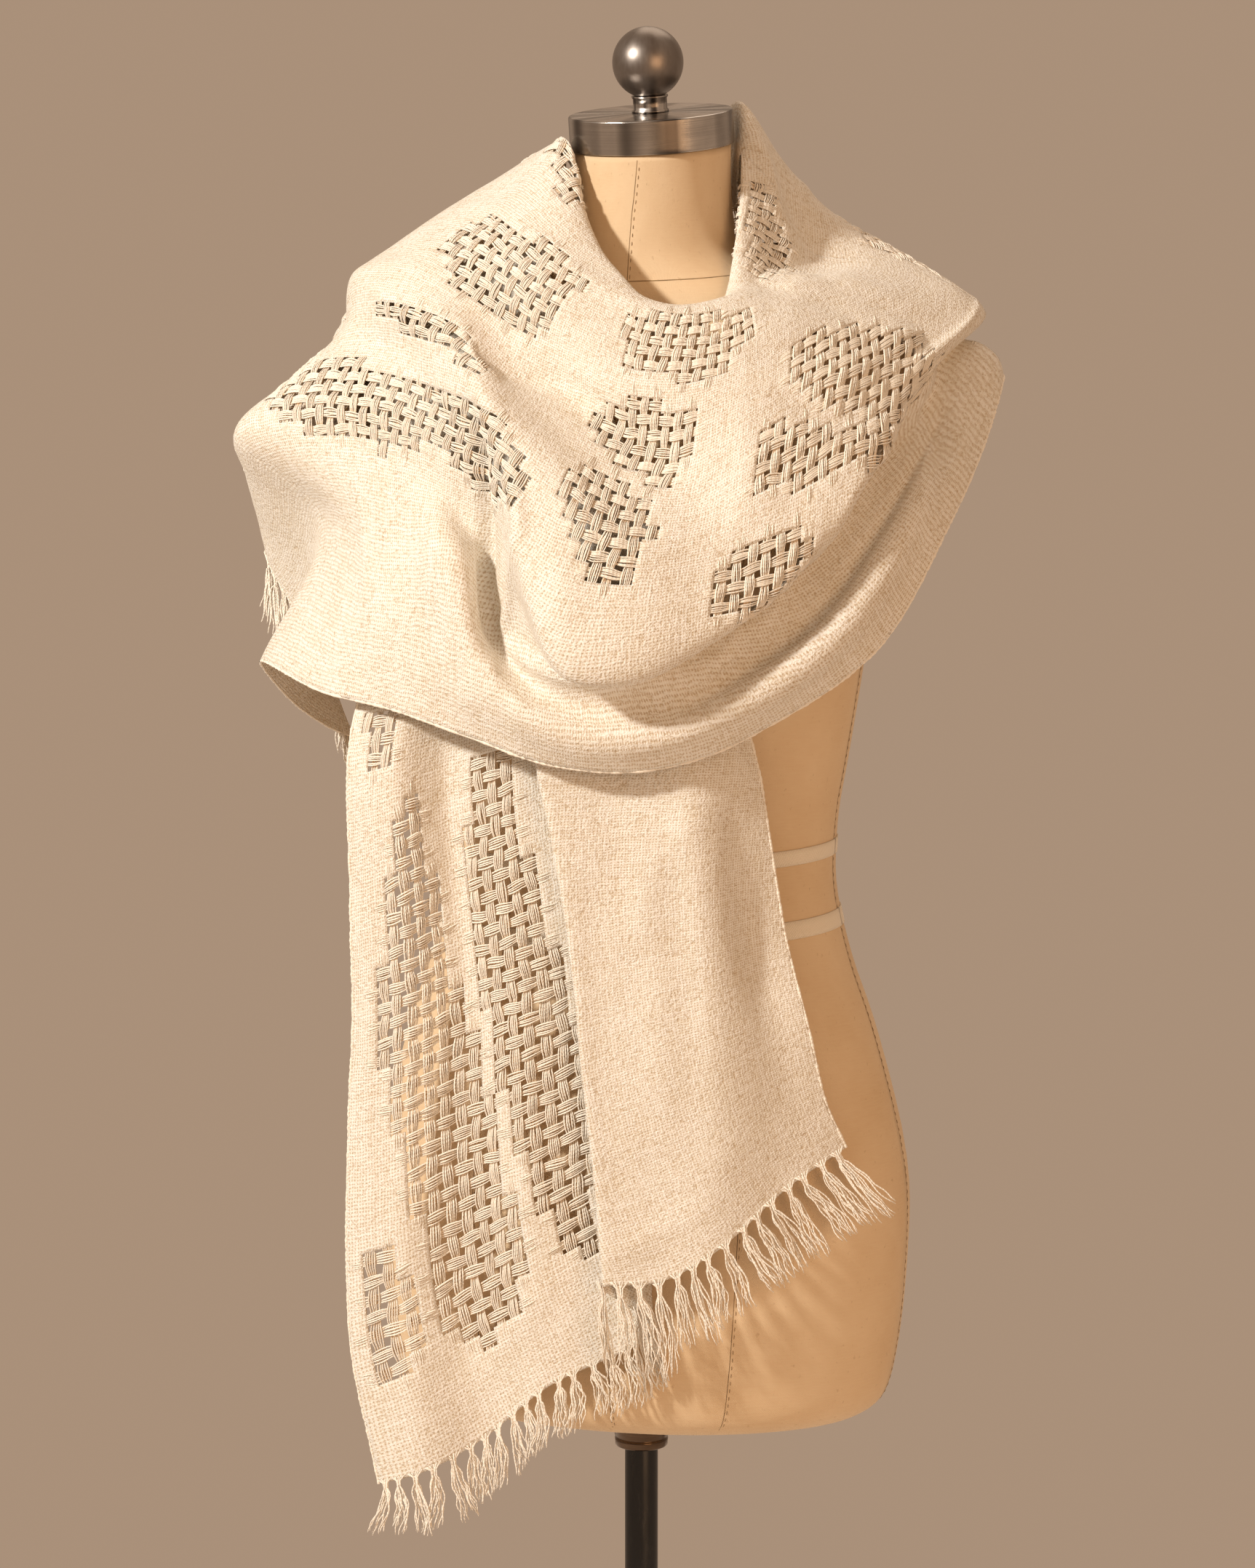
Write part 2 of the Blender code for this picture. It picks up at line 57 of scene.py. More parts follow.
# Dress form sections: height, half width, depth in front, depth behind, forward lean of the centre
FORM = [
    (0.605, 0.136, 0.080, 0.100, 0.0), (0.609, 0.150, 0.089, 0.112, 0.0),
    (0.620, 0.163, 0.098, 0.125, 0.0), (0.650, 0.171, 0.104, 0.132, 0.0),
    (0.710, 0.177, 0.108, 0.137, 0.0), (0.770, 0.177, 0.106, 0.134, 0.0),
    (0.860, 0.156, 0.100, 0.112, 0.0), (0.910, 0.139, 0.092, 0.096, 0.0),
    (0.956, 0.129, 0.085, 0.086, 0.0), (1.000, 0.130, 0.087, 0.090, 0.0),
    (1.036, 0.136, 0.093, 0.096, 0.0), (1.086, 0.144, 0.108, 0.105, 0.0),
    (1.146, 0.153, 0.133, 0.110, 0.0), (1.206, 0.165, 0.115, 0.114, 0.0),
    (1.256, 0.176, 0.095, 0.108, 0.0), (1.286, 0.181, 0.080, 0.096, 0.0),
    (1.301, 0.173, 0.068, 0.084, 0.001), (1.316, 0.150, 0.061, 0.074, 0.002),
    (1.336, 0.108, 0.056, 0.065, 0.004), (1.350, 0.078, 0.054, 0.060, 0.006),
    (1.362, 0.063, 0.053, 0.057, 0.008), (1.380, 0.056, 0.0525, 0.053, 0.011),
    (1.405, 0.0520, 0.0510, 0.0510, 0.016), (1.428, 0.0500, 0.0500, 0.0500, 0.021),
]
# One row per section of the cloth. Each entry is where a fold line crosses the section: x and z as they
# show on the plane of the pole from 2.5 m in front, then the depth y, all in millimetres. The lines are the
# neck edge, collar fold, neck roll, upper fall, upper valley, middle ridge, pocket, under fold, valley, border
# and hem.
SECTIONS = {
    "front end edge": [(135, 776, -104), (98, 750, -120), (50, 706, -137), (12, 685, -134), (-26, 681, -133),
        (-8, 668, -125), (8, 652, -117), (-62, 614, -109), (-105, 579, -92), (-145, 556, -97), (-175, 548, -82)],
    "front end low": [(122, 805, -108), (90, 792, -120), (48, 772, -137), (8, 756, -134), (-32, 752, -133),
        (-12, 740, -125), (4, 728, -117), (-76, 700, -109), (-118, 672, -92), (-156, 655, -98), (-193, 645, -80)],
    "front end": [(110, 855, -112), (82, 848, -120), (44, 838, -137), (4, 828, -134), (-40, 826, -133),
        (-18, 818, -125), (-4, 810, -117), (-80, 795, -109), (-121, 780, -92), (-158, 768, -98), (-194, 762, -80)],
    "below waist": [(95, 915, -108), (72, 912, -116), (40, 908, -136), (0, 904, -131), (-47, 902, -131),
        (-26, 897, -122), (-12, 892, -114), (-82, 885, -107), (-122, 876, -92), (-158, 868, -100), (-190, 862, -82)],
    "waist": [(84, 980, -112), (64, 980, -122), (34, 980, -137), (-8, 978, -131), (-59, 978, -130), (-38, 976, -121),
        (-24, 974, -114), (-87, 968, -107), (-126, 962, -93), (-159, 956, -102), (-191, 950, -85)],
    "under the hem": [(73, 1040, -116), (54, 1040, -129), (26, 1040, -138), (-16, 1040, -131), (-70, 1040, -130),
        (-50, 1040, -121), (-38, 1040, -113), (-92, 1040, -106), (-128, 1040, -94), (-160, 1040, -102),
        (-191, 1040, -88)],
    "under chest": [(40, 1130, -128), (22, 1130, -130), (0, 1130, -130), (-30, 1130, -136), (-62, 1130, -131),
        (-64, 1130, -121), (-68, 1130, -112), (-90, 1130, -106), (-112, 1130, -90), (-140, 1130, -84),
        (-172, 1130, -70)],
    "under fold": [(-12, 1240, -100), (-24, 1240, -98), (-38, 1240, -95), (-52, 1240, -92), (-70, 1240, -92),
        (-80, 1240, -87), (-92, 1240, -82), (-108, 1238, -78), (-126, 1234, -70), (-146, 1228, -58),
        (-172, 1220, -42)],
    "left shoulder front": [(-52, 1335, -42), (-60, 1336, -44), (-69, 1334, -45), (-79, 1331, -46), (-90, 1328, -46),
        (-101, 1324, -45), (-113, 1320, -43), (-126, 1316, -40), (-140, 1310, -36), (-156, 1303, -30),
        (-174, 1290, -22)],
    "left shoulder": [(-56, 1372, 10), (-63, 1368, 12), (-71, 1362, 14), (-80, 1356, 17), (-92, 1349, 18),
        (-104, 1343, 18), (-117, 1337, 18), (-131, 1331, 18), (-146, 1324, 18), (-162, 1315, 18), (-182, 1300, 18)],
    "back left": [(-36, 1384, 46), (-40, 1402, 52), (-54, 1390, 66), (-70, 1368, 76), (-86, 1350, 86),
        (-104, 1318, 94), (-120, 1282, 100), (-134, 1240, 103), (-146, 1196, 104), (-154, 1150, 100),
        (-158, 1104, 92)],
    "back": [(4, 1392, 54), (4, 1436, 56), (4, 1416, 74), (4, 1386, 88), (4, 1350, 102), (4, 1312, 114),
        (4, 1270, 122), (4, 1226, 126), (4, 1178, 127), (4, 1128, 120), (4, 1078, 110)],
    "back right": [(44, 1392, 40), (46, 1446, 44), (70, 1418, 58), (92, 1390, 72), (112, 1360, 84), (128, 1326, 92),
        (138, 1288, 97), (144, 1246, 99), (146, 1200, 98), (144, 1156, 92), (138, 1104, 84)],
    "right shoulder back": [(57, 1415, 18), (63, 1457, 2), (92, 1418, 16), (118, 1390, 32), (144, 1370, 42),
        (168, 1348, 48), (188, 1318, 50), (194, 1292, 50), (202, 1264, 50), (204, 1238, 50), (196, 1205, 48)],
    "right shoulder": [(56, 1390, 2), (64, 1424, -22), (108, 1362, -14), (150, 1357, -4), (182, 1348, 0),
        (205, 1338, 0), (221, 1323, 0), (206, 1306, 5), (218, 1303, 4), (229, 1295, 3), (233, 1283, 3)],
    "right arm": [(56, 1342, -34), (61, 1374, -52), (84, 1346, -56), (118, 1343, -54), (146, 1329, -58),
        (168, 1308, -64), (184, 1285, -72), (172, 1274, -52), (186, 1258, -58), (202, 1250, -58), (222, 1240, -50)],
    "right chest": [(44, 1304, -70), (48, 1322, -80), (56, 1334, -92), (86, 1314, -108), (112, 1288, -120),
        (134, 1260, -130), (150, 1228, -136), (136, 1216, -108), (152, 1192, -114), (172, 1192, -118),
        (198, 1184, -100)],
    "right of middle": [(12, 1286, -94), (17, 1308, -94), (26, 1328, -102), (52, 1290, -128), (74, 1248, -146),
        (92, 1202, -160), (100, 1153, -170), (84, 1144, -140), (102, 1116, -144), (124, 1118, -150),
        (155, 1108, -128)],
    "near middle": [(-6, 1292, -91), (-3, 1313, -91), (1, 1333, -100), (18, 1282, -130), (30, 1226, -148),
        (40, 1166, -176), (44, 1110, -186), (32, 1108, -152), (46, 1086, -152), (60, 1074, -160), (88, 1059, -140)],
    "middle": [(-16, 1308, -83), (-15, 1328, -83), (-12, 1346, -93), (-14, 1286, -124), (-6, 1236, -134),
        (-4, 1164, -184), (-2, 1086, -194), (-6, 1090, -158), (-2, 1068, -154), (6, 1058, -164), (12, 1029, -148)],
    "left of middle": [(-27, 1334, -72), (-28, 1350, -73), (-26, 1363, -83), (-46, 1310, -112), (-42, 1262, -116),
        (-50, 1192, -172), (-50, 1089, -192), (-54, 1094, -156), (-58, 1074, -148), (-56, 1060, -160),
        (-58, 1030, -145)],
    "left chest": [(-38, 1364, -56), (-39, 1377, -58), (-37, 1388, -70), (-72, 1338, -98), (-82, 1294, -102),
        (-84, 1252, -138), (-76, 1140, -176), (-82, 1140, -140), (-92, 1112, -122), (-104, 1098, -146),
        (-112, 1048, -130)],
    "left of chest": [(-43, 1390, -42), (-42, 1407, -49), (-41, 1414, -56), (-88, 1368, -76), (-114, 1332, -84),
        (-114, 1302, -110), (-90, 1200, -146), (-99, 1192, -124), (-108, 1178, -114), (-124, 1172, -130),
        (-162, 1066, -112)],
    "left arm": [(-48, 1406, -24), (-44, 1420, -35), (-43, 1434, -42), (-92, 1396, -38), (-142, 1358, -52),
        (-152, 1330, -74), (-132, 1256, -104), (-149, 1248, -98), (-168, 1237, -88), (-170, 1170, -98),
        (-208, 1078, -84)],
    "left silhouette": [(-50, 1398, 6), (-51, 1413, 2), (-54, 1428, -8), (-98, 1406, 6), (-160, 1366, 0),
        (-187, 1344, -10), (-191, 1315, -22), (-222, 1284, -24), (-262, 1246, -20), (-207, 1190, -30),
        (-248, 1098, -16)],
    "behind left": [(-57, 1374, 78), (-60, 1387, 84), (-68, 1398, 90), (-102, 1370, 90), (-148, 1334, 80),
        (-172, 1306, 64), (-188, 1282, 46), (-218, 1262, 34), (-257, 1224, 20), (-214, 1166, 16), (-228, 1072, 36)],
    "second end": [(-38, 1318, 134), (-54, 1322, 138), (-72, 1318, 138), (-102, 1304, 134), (-134, 1286, 126),
        (-162, 1268, 116), (-190, 1252, 100), (-220, 1232, 82), (-250, 1198, 56), (-216, 1136, 50), (-206, 1056, 66)],
    "second end edge": [(-28, 1190, 152), (-48, 1184, 153), (-70, 1179, 152), (-98, 1174, 148), (-128, 1170, 141),
        (-156, 1167, 132), (-184, 1165, 119), (-213, 1166, 100), (-243, 1168, 74), (-214, 1112, 70), (-188, 1048, 88)],
}
# Room between the form and the middle of the cloth: section, millimetres
ROOM = [(0, 5), (5, 5), (7, 9), (8, 13), (9, 18), (10, 11), (14, 9), (15, 11), (16, 13), (24, 14), (25, 20),
        (27, 22)]
# Places across the cloth run from 0 at the neck edge to this at the hem
HEM = 10


def real(entry):
    """Real place of a point that shows at x, z on the pole plane and lies at depth y."""
    x, z, y = (value * MM for value in entry)
    k = (y - EYE[1]) / -EYE[1]
    return (EYE[0] + (x - EYE[0]) * k, y, EYE[2] + (z - EYE[2]) * k)


def curve(points, places):
    """Smooth curve through the points (first axis), read at the places 0 .. n - 1, without overshoot."""
    points = np.asarray(points, float)
    last = len(points) - 1
    places = np.clip(np.asarray(places, float), 0, last)
    i = np.minimum(places.astype(int), last - 1)
    t = (places - i).reshape((-1,) + (1,) * (points.ndim - 1))
    ends = np.concatenate([[2 * points[0] - points[1]], points, [2 * points[-1] - points[-2]]])
    far = np.sqrt(np.linalg.norm(np.diff(ends, axis=0), axis=-1, keepdims=True)) + 1e-6
    a, b, c, d = ends[i], ends[i + 1], ends[i + 2], ends[i + 3]
    ab, bc, cd = far[i], far[i + 1], far[i + 2]
    m = (c - b) + bc * ((b - a) / ab - (c - a) / (ab + bc))
    n = (c - b) + bc * ((d - c) / cd - (d - b) / (bc + cd))
    return b + m * t + (3 * (c - b) - 2 * m - n) * t ** 2 + (2 * (b - c) + m + n) * t ** 3


def unit(way, tiny=1e-12):
    """Directions, each made as long as 1."""
    return way / (np.linalg.norm(way, axis=-1, keepdims=True) + tiny)


def outward(place):
    """Directions out of the cloth, from a grid of its places."""
    return unit(np.cross(np.gradient(place, axis=0), np.gradient(place, axis=1)))


def run_along(path):
    """Length along a path up to each of its points."""
    return np.concatenate([[0], np.cumsum(np.linalg.norm(np.diff(path, axis=0), axis=-1))])


def read_along(at, run, table):
    """Rows of a table that stand at the lengths of a run, read at other lengths."""
    return np.stack([np.interp(at, run, column) for column in table.T], -1)


FORM_FINE = curve(FORM, np.linspace(0, len(FORM) - 1, 4 * (len(FORM) - 1) + 1))


def section(z):
    """Half width, depth in front, depth behind and forward lean of the dress form at heights z."""
    return (np.interp(z, FORM_FINE[:, 0], column) for column in FORM_FINE.T[1:])


def form_level(p):
    """0 on the skin of the dress form, below 0 inside it."""
    c, s = math.cos(TURN), math.sin(TURN)
    half, front, behind, lean = section(p[..., 2])
    px, py = p[..., 0] - lean * ASIDE, p[..., 1] + lean
    x, y = px * c + py * s, -px * s + py * c
    return np.sqrt((x / half) ** 2 + (y / np.where(y < 0, front, behind)) ** 2) - 1


def outside(p, gap):
    """Moves points that are nearer to the form than the gap out along its skin's direction."""
    p = p.copy()
    for _ in range(6):
        level, h = form_level(p), 0.0005
        slope = np.stack([(form_level(p + h * e) - form_level(p - h * e)) / (2 * h) for e in np.eye(3)], -1)
        size = np.linalg.norm(slope, axis=-1) + 1e-9
        push = np.maximum(gap - level / size, 0)
        p += slope / size[..., None] * push[..., None]
    return p


CONTROL = np.array([[real(entry) for entry in row] for row in SECTIONS.values()])
LAST = len(CONTROL) - 1


def cloth(u, v):
    """Middle of the cloth at places u along it and v across it."""
    rows = curve(CONTROL, u)
    grid = curve(rows.transpose(1, 0, 2), v).transpose(1, 0, 2)
    room = np.interp(u, *np.transpose(ROOM))[:, None]
    inner = np.interp(v, [0, 1.3, 2.6], [0, 0, 1])[None, :]
    return outside(grid, (5 + (room - 5) * inner) * MM)


# ------------------------------------------------------------------ the cloth laid flat
# s runs along the cloth and t across it from the hem, in metres, so that the threads keep their spacing.
STEP = 0.05
DU, DV = np.arange(0, LAST + 1e-9, STEP), np.arange(0, HEM + 1e-9, STEP)
PLACE = cloth(DU, DV)
SIDE = outward(PLACE)
# Where the second end rounds the shoulder its fold lines leave a small knuckle. The cloth round it is
# lifted to the knuckle's height, only outward, so that it lies as one soft swell.
hump = np.exp(-((DU - 24.95)[:, None] / 0.55) ** 2 - ((DV - 5.46)[None, :] / 0.95) ** 2)
even = PLACE.copy()
for _ in range(60):
    even[1:-1, 1:-1] += 0.2 * (even[2:, 1:-1] + even[:-2, 1:-1] + even[1:-1, 2:] + even[1:-1, :-2]
                               - 4 * even[1:-1, 1:-1])
stand = ((PLACE - even) * SIDE).sum(-1)
lift = np.clip(stand[hump > 0.6].max() * hump - stand, 0, None) * np.sqrt(hump)
PLACE = PLACE + SIDE * lift[..., None]
SIDE = outward(PLACE)


# The cloth's places as they show on the plane of the pole, in millimetres
SEEN = EYE[1] / (EYE[1] - PLACE[..., 1])
SEEN = np.stack([EYE[0] + (PLACE[..., 0] - EYE[0]) * SEEN, EYE[2] + (PLACE[..., 2] - EYE[2]) * SEEN], -1) / MM
# Places along the cloth where its four stretches meet
WRAP_FROM, SWATH_FROM, SHOULDER_FROM = 6.3, 14, 24
# Parts of the cloth that a table's points lie on: places u from, to, places v from, to
AREAS = {"swath": (14, 24.6, 2.1, 10), "panel": (0, 6.3, 6.4, 10), "near_panel": (0, 6.3, 0, 3.9),
         "collar": (12.6, 15.4, 0.9, 3.4), "shoulder": (24, 27, 1, 10), "inner_roll": (21, 25, 0.9, 2.6)}
# Directions of the threads where they show: where, x and z on the pole plane in mm, then the direction
# along the cloth and the one across it towards its neck edge, in degrees as they show
THREADS = [
    ("swath", -90, 1345, 140, 50), ("swath", -135, 1315, 142, 55), ("swath", -195, 1268, 174, 78),
    ("swath", -140, 1262, 170, 78), ("swath", -97, 1240, 132, 50), ("swath", -60, 1320, 145, 58),
    ("swath", 30, 1305, 172, 63), ("swath", 145, 1288, 172, 62), ("swath", 0, 1245, 152, 75),
    ("swath", 20, 1225, 156, 77), ("swath", 115, 1228, 192, 66), ("swath", -25, 1185, 160, 78),
    ("swath", 78, 1155, 182, 80), ("panel", -150, 930, 105, 28), ("panel", -85, 930, 105, 22),
    ("panel", -115, 740, 106, 20), ("panel", -140, 660, 104, 25),
]
# How closely the threads lie, by the place along the cloth
CLOSE = [(0, 0.98), (6, 0.98), (12, 1.08), (15, 1.22), (23, 1.16), (27, 1.12)]


def grid_steps(x):
    """Steps along and across the squares of a grid."""
    a, b, c, d = x[:-1, :-1], x[1:, :-1], x[:-1, 1:], x[1:, 1:]
    return 0.5 * (b - a + d - c), 0.5 * (c - a + d - b)


def lay_flat():
    """s and t whose even lines follow the threads: least squares over the cloth, by conjugate gradients."""
    every = 5
    p, us, vs, seen = PLACE[::every, ::every], DU[::every], DV[::every], SEEN[::every, ::every]
    gu, gv = grid_steps(p)
    uu, uv, vv = ((a * b).sum(-1) for a, b in ((gu, gu), (gu, gv), (gv, gv)))
    area = np.sqrt(uu * vv - uv ** 2)
    ahead = gu / np.sqrt(uu)[..., None]
    aside = unit(-gv + ahead * (gv * ahead).sum(-1)[..., None], 0)
    lean = np.arctan2((-gv * aside).sum(-1), (-gv * ahead).sum(-1))
    mu, mv = (us[1:, None] + us[:-1, None]) / 2, (vs[None, 1:] + vs[None, :-1]) / 2
    base = 0.04 + np.exp(-((HEM - mv) / 0.9) ** 2) + 0 * mu
    start = [0 * base, np.where(mu < WRAP_FROM, lean, 0.5 * (lean + math.pi / 2)) * base]
    turns, near = [turn.copy() for turn in start], 0 * base
    for where, x, z, along, across in THREADS:
        u0, u1, v0, v1 = AREAS[where]
        on = ((us >= u0) & (us <= u1))[:, None] & ((vs >= v0) & (vs <= v1))[None, :]
        off = np.where(on, np.hypot(seen[..., 0] - x, seen[..., 1] - z), 1e9)
        i, j = np.unravel_index(off.argmin(), off.shape)
        i, j = min(max(i, 1), len(us) - 2), min(max(j, 1), len(vs) - 2)
        back = np.linalg.inv(np.stack([seen[i + 1, j] - seen[i - 1, j], seen[i, j + 1] - seen[i, j - 1]], -1))
        share = np.exp(-((mu - us[i]) / 1.1) ** 2 - ((mv - vs[j]) / 1.1) ** 2)
        near += share
        for k, angle in enumerate((along, across)):
            w = back @ np.array([math.cos(math.radians(angle)), math.sin(math.radians(angle))])
            d = (p[i + 1, j] - p[i - 1, j]) * w[0] + (p[i, j + 1] - p[i, j - 1]) * w[1]
            turns[k] += share * math.atan2(d @ aside[i, j], d @ ahead[i, j])
    shown = [turn - share for turn, share in zip(turns, start)]
    weight = np.minimum(area, np.percentile(area, 95)) * 1e4 * (1 + 2 * np.minimum(near, 1))
    close = np.interp(mu, *np.transpose(CLOSE))

    def step(d):
        du, dv = (d * gu).sum(-1), (d * gv).sum(-1)
        return (du * vv - dv * uv) / area ** 2, (dv * uu - du * uv) / area ** 2

    def turned_to(angles):
        return [step(ahead * np.cos(a)[..., None] + aside * np.sin(a)[..., None]) for a in angles]

    plain = [step(ahead), step(aside)]
    steps = turned_to([turn / (base + near) for turn in turns])
    low, high = slice(None, -1), slice(1, None)
    halves = [((high, low), (low, high), (low, low), 1), ((low, high), (high, low), (high, high), -1)]

    def forward(x):
        return [sign * (su * (x[a] - x[c]) + sv * (x[b] - x[c])) for a, b, c, sign in halves for su, sv in steps]

    def backward(parts):
        x = np.zeros(p.shape[:2])
        for number, (a, b, c, sign) in enumerate(halves):
            for k, (su, sv) in enumerate(steps):
                pull = parts[2 * number + k] * weight * sign
                x[a] += su * pull
                x[b] += sv * pull
                x[c] -= (su + sv) * pull
        return x

    flat = np.zeros(p.shape[:2] + (2,))
    flat[1:, :, 0] = np.cumsum(np.linalg.norm(np.diff(p, axis=0), axis=-1).mean(1))[:, None]
    flat[:, :-1, 1] = np.cumsum(np.linalg.norm(np.diff(p, axis=1), axis=-1)[:, ::-1], axis=1)[:, ::-1]
    for again in range(14):
        if again:
            # away from the lace that shows, the threads turn to where they are stretched and sheared least
            gs, gt = ([su * along + sv * across for su, sv in plain]
                      for along, across in (grid_steps(flat[..., 0]), grid_steps(flat[..., 1])))
            turn = np.arctan2(gs[1] - gt[0], gs[0] + gt[1])
            steps = turned_to([(shown[0] + 0.3 * turn) / (near + 0.3),
                               (shown[1] + 0.3 * (turn + math.pi / 2)) / (near + 0.3)])
        for axis in (0, 1):
            x, free = flat[..., axis], np.ones(p.shape[:2])
            free[(0, slice(None)) if axis == 0 else (slice(None), -1)] = 0
            left = free * backward([(1 - axis if k % 2 == 0 else axis) * close - part
                                    for k, part in enumerate(forward(x))])
            way, size = left.copy(), (left * left).sum()
            for _ in range(260):
                pushed = free * backward(forward(way))
                far = size / ((way * pushed).sum() + 1e-30)
                x = x + far * way
                left = left - far * pushed
                size, before = (left * left).sum(), size
                way = left + size / (before + 1e-30) * way
            flat[..., axis] = x
    near = curve(flat, DU / (STEP * every))
    return curve(near.transpose(1, 0, 2), DV / (STEP * every)).transpose(1, 0, 2)


FLAT = lay_flat()


def between(table, a, b):
    """A table read between its rows and columns, at row places a and column places b."""
    i, j = a.astype(int), b.astype(int)
    a, b = (a - i)[..., None], (b - j)[..., None]
    return (table[i, j] * (1 - a) * (1 - b) + table[i + 1, j] * a * (1 - b)
            + table[i, j + 1] * (1 - a) * b + table[i + 1, j + 1] * a * b)


def read(table, u, v):
    """A table on the fine u, v places, read between them."""
    return between(table, np.clip(u / STEP, 0, len(DU) - 1.000001), np.clip(v / STEP, 0, len(DV) - 1.000001))


# Width of one cell of the lace, which a bundle of yarns fills
PITCH = 0.0096


def lattice(u0, u1, v0, step):
    """Places u, v under the even lattice of the flat cloth, held at the edges of the stretch."""
    us = np.unique(np.concatenate([[u0, u1], DU[(DU > u0) & (DU < u1)]]))
    vs = np.unique(np.concatenate([[v0], DV[DV > v0]]))
    st = read(FLAT, us[:, None] + 0 * vs[None, :], 0 * us[:, None] + vs[None, :])
    t = np.arange(0, math.ceil(st[..., 1].max() / step) + 1) * step
    low, high = math.floor(st[..., 0].min() / step), math.ceil(st[..., 0].max() / step)
    s = np.arange(low, high + 1) * step
    v = np.empty((len(us), len(t)))
    for i in range(len(us)):
        run = np.maximum.accumulate(st[i, ::-1, 1] + np.arange(len(vs)) * 1e-9)
        v[i] = np.interp(t, run, vs[::-1])
    along = read(FLAT, us[:, None] + 0 * v, v)[..., 0]
    u, w = np.empty((len(s), len(t))), np.empty((len(s), len(t)))
    for j in range(len(t)):
        run = np.maximum.accumulate(along[:, j] + np.arange(len(us)) * 1e-9)
        u[:, j] = np.interp(s, run, us)
        w[:, j] = np.interp(s, run, v[:, j])
    return low, u, w


def locate(area, points):
    """Flat s, t of points given as they show on the pole plane, in millimetres."""
    u0, u1, v0, v1 = AREAS[area]
    i, j = np.where((DU >= u0) & (DU <= u1))[0], np.where((DV >= v0) & (DV <= v1))[0]
    seen, flat = SEEN[np.ix_(i, j)], FLAT[np.ix_(i, j)]
    found = []
    for x, z in points:
        off = np.hypot(seen[..., 0] - x, seen[..., 1] - z)
        at = np.unravel_index(off.argmin(), off.shape)
        found.append(flat[at])
    return np.array(found)


# Lace blocks that show: where, then each outline in millimetres on the pole plane
LACE_SHOWN = {
    "swath": [[(-128, 1366), (-112, 1378), (-93, 1385), (-70, 1370), (-50, 1356), (-34, 1342), (-50, 1330),
        (-58, 1318), (-67, 1308), (-90, 1321), (-118, 1336)], [(-172, 1332), (-150, 1330), (-128, 1322), (-112, 1308),
        (-98, 1292), (-108, 1288), (-124, 1298), (-142, 1308), (-160, 1316), (-172, 1322)], [(-236, 1258),
        (-215, 1278), (-190, 1291), (-165, 1287), (-140, 1280), (-112, 1272), (-97, 1262), (-88, 1245), (-76, 1222),
        (-72, 1210), (-82, 1196), (-98, 1200), (-110, 1212), (-122, 1228), (-140, 1236), (-170, 1236), (-200, 1243),
        (-222, 1250)], [(-14, 1318), (10, 1322), (40, 1322), (74, 1324), (72, 1314), (62, 1300), (50, 1284),
        (20, 1283), (-8, 1286), (-10, 1300)], [(97, 1300), (118, 1312), (150, 1313), (180, 1306), (194, 1296),
        (184, 1280), (172, 1264), (152, 1256), (132, 1262), (112, 1270), (98, 1282)], [(-34, 1262), (-10, 1268),
        (20, 1264), (36, 1256), (32, 1244), (26, 1230), (18, 1214), (4, 1214), (-14, 1228), (-32, 1240)], [(80, 1246),
        (100, 1252), (130, 1250), (158, 1247), (148, 1238), (128, 1226), (112, 1214), (92, 1208), (74, 1210),
        (74, 1228)], [(-54, 1214), (-34, 1222), (-12, 1212), (8, 1196), (6, 1180), (-2, 1162), (-8, 1150),
        (-26, 1150), (-38, 1164), (-46, 1184), (-52, 1200)], [(58, 1172), (80, 1182), (104, 1186), (108, 1172),
        (100, 1158), (90, 1142), (72, 1130), (48, 1128), (48, 1148)]],
    "collar": [[(70, 1412), (78, 1400), (86, 1380), (94, 1362), (96, 1350), (84, 1346), (72, 1346), (66, 1360),
        (68, 1385)]],
    "panel": [[(-182, 1068), (-160, 1068), (-160, 1022), (-172, 1022)], [(-152, 1012), (-142, 985), (-137, 950),
        (-133, 910), (-116, 870), (-105, 830), (-98, 790), (-91, 760), (-84, 730), (-78, 700), (-84, 668),
        (-106, 640), (-130, 652), (-135, 690), (-150, 730), (-160, 780), (-170, 830), (-172, 880), (-170, 930),
        (-162, 975)], [(-178, 712), (-160, 700), (-150, 670), (-146, 640), (-160, 622), (-178, 616), (-180, 660)],
        [(-110, 1042), (-88, 1042), (-84, 1000), (-74, 960), (-62, 930), (-54, 895), (-44, 860), (-36, 820),
        (-30, 780), (-28, 740), (-29, 705), (-48, 702), (-60, 725), (-72, 760), (-84, 790), (-94, 830), (-104, 870),
        (-112, 920), (-114, 960), (-113, 1000)]],
    "inner_roll": [[(-66, 1426), (-42, 1434), (-38, 1412), (-38, 1388), (-52, 1392), (-66, 1405)]],
}
# Lace blocks on the hidden sides: places along the cloth from, to, then across it from, to
LACE_HIDDEN = [
    (8.35, 9.15, 2.3, 3.7), (9.9, 10.7, 2.4, 3.9), (11.4, 12.2, 2.4, 3.8), (13.0, 13.7, 3.2, 4.7),
    (9.1, 9.9, 4.5, 6.0), (10.65, 11.4, 4.6, 6.1), (12.2, 13.0, 4.6, 6.1), (8.4, 9.1, 6.6, 8.1),
    (9.9, 10.65, 6.8, 8.3), (11.4, 12.2, 6.8, 8.3), (13.0, 13.7, 6.2, 7.8), (24.5, 25.2, 2.8, 4.3),
    (25.3, 26.1, 4.6, 6.2), (24.5, 25.2, 6.6, 7.9),
]


def inside(polygon, s, t):
    """Whether points s, t lie in the polygon."""
    hit = np.zeros(s.shape, bool)
    for (ax, ay), (bx, by) in zip(polygon, np.roll(polygon, -1, axis=0)):
        cross = (ay > t) != (by > t)
        hit ^= cross & (s < (bx - ax) * (t - ay) / (by - ay + 1e-15) + ax)
    return hit


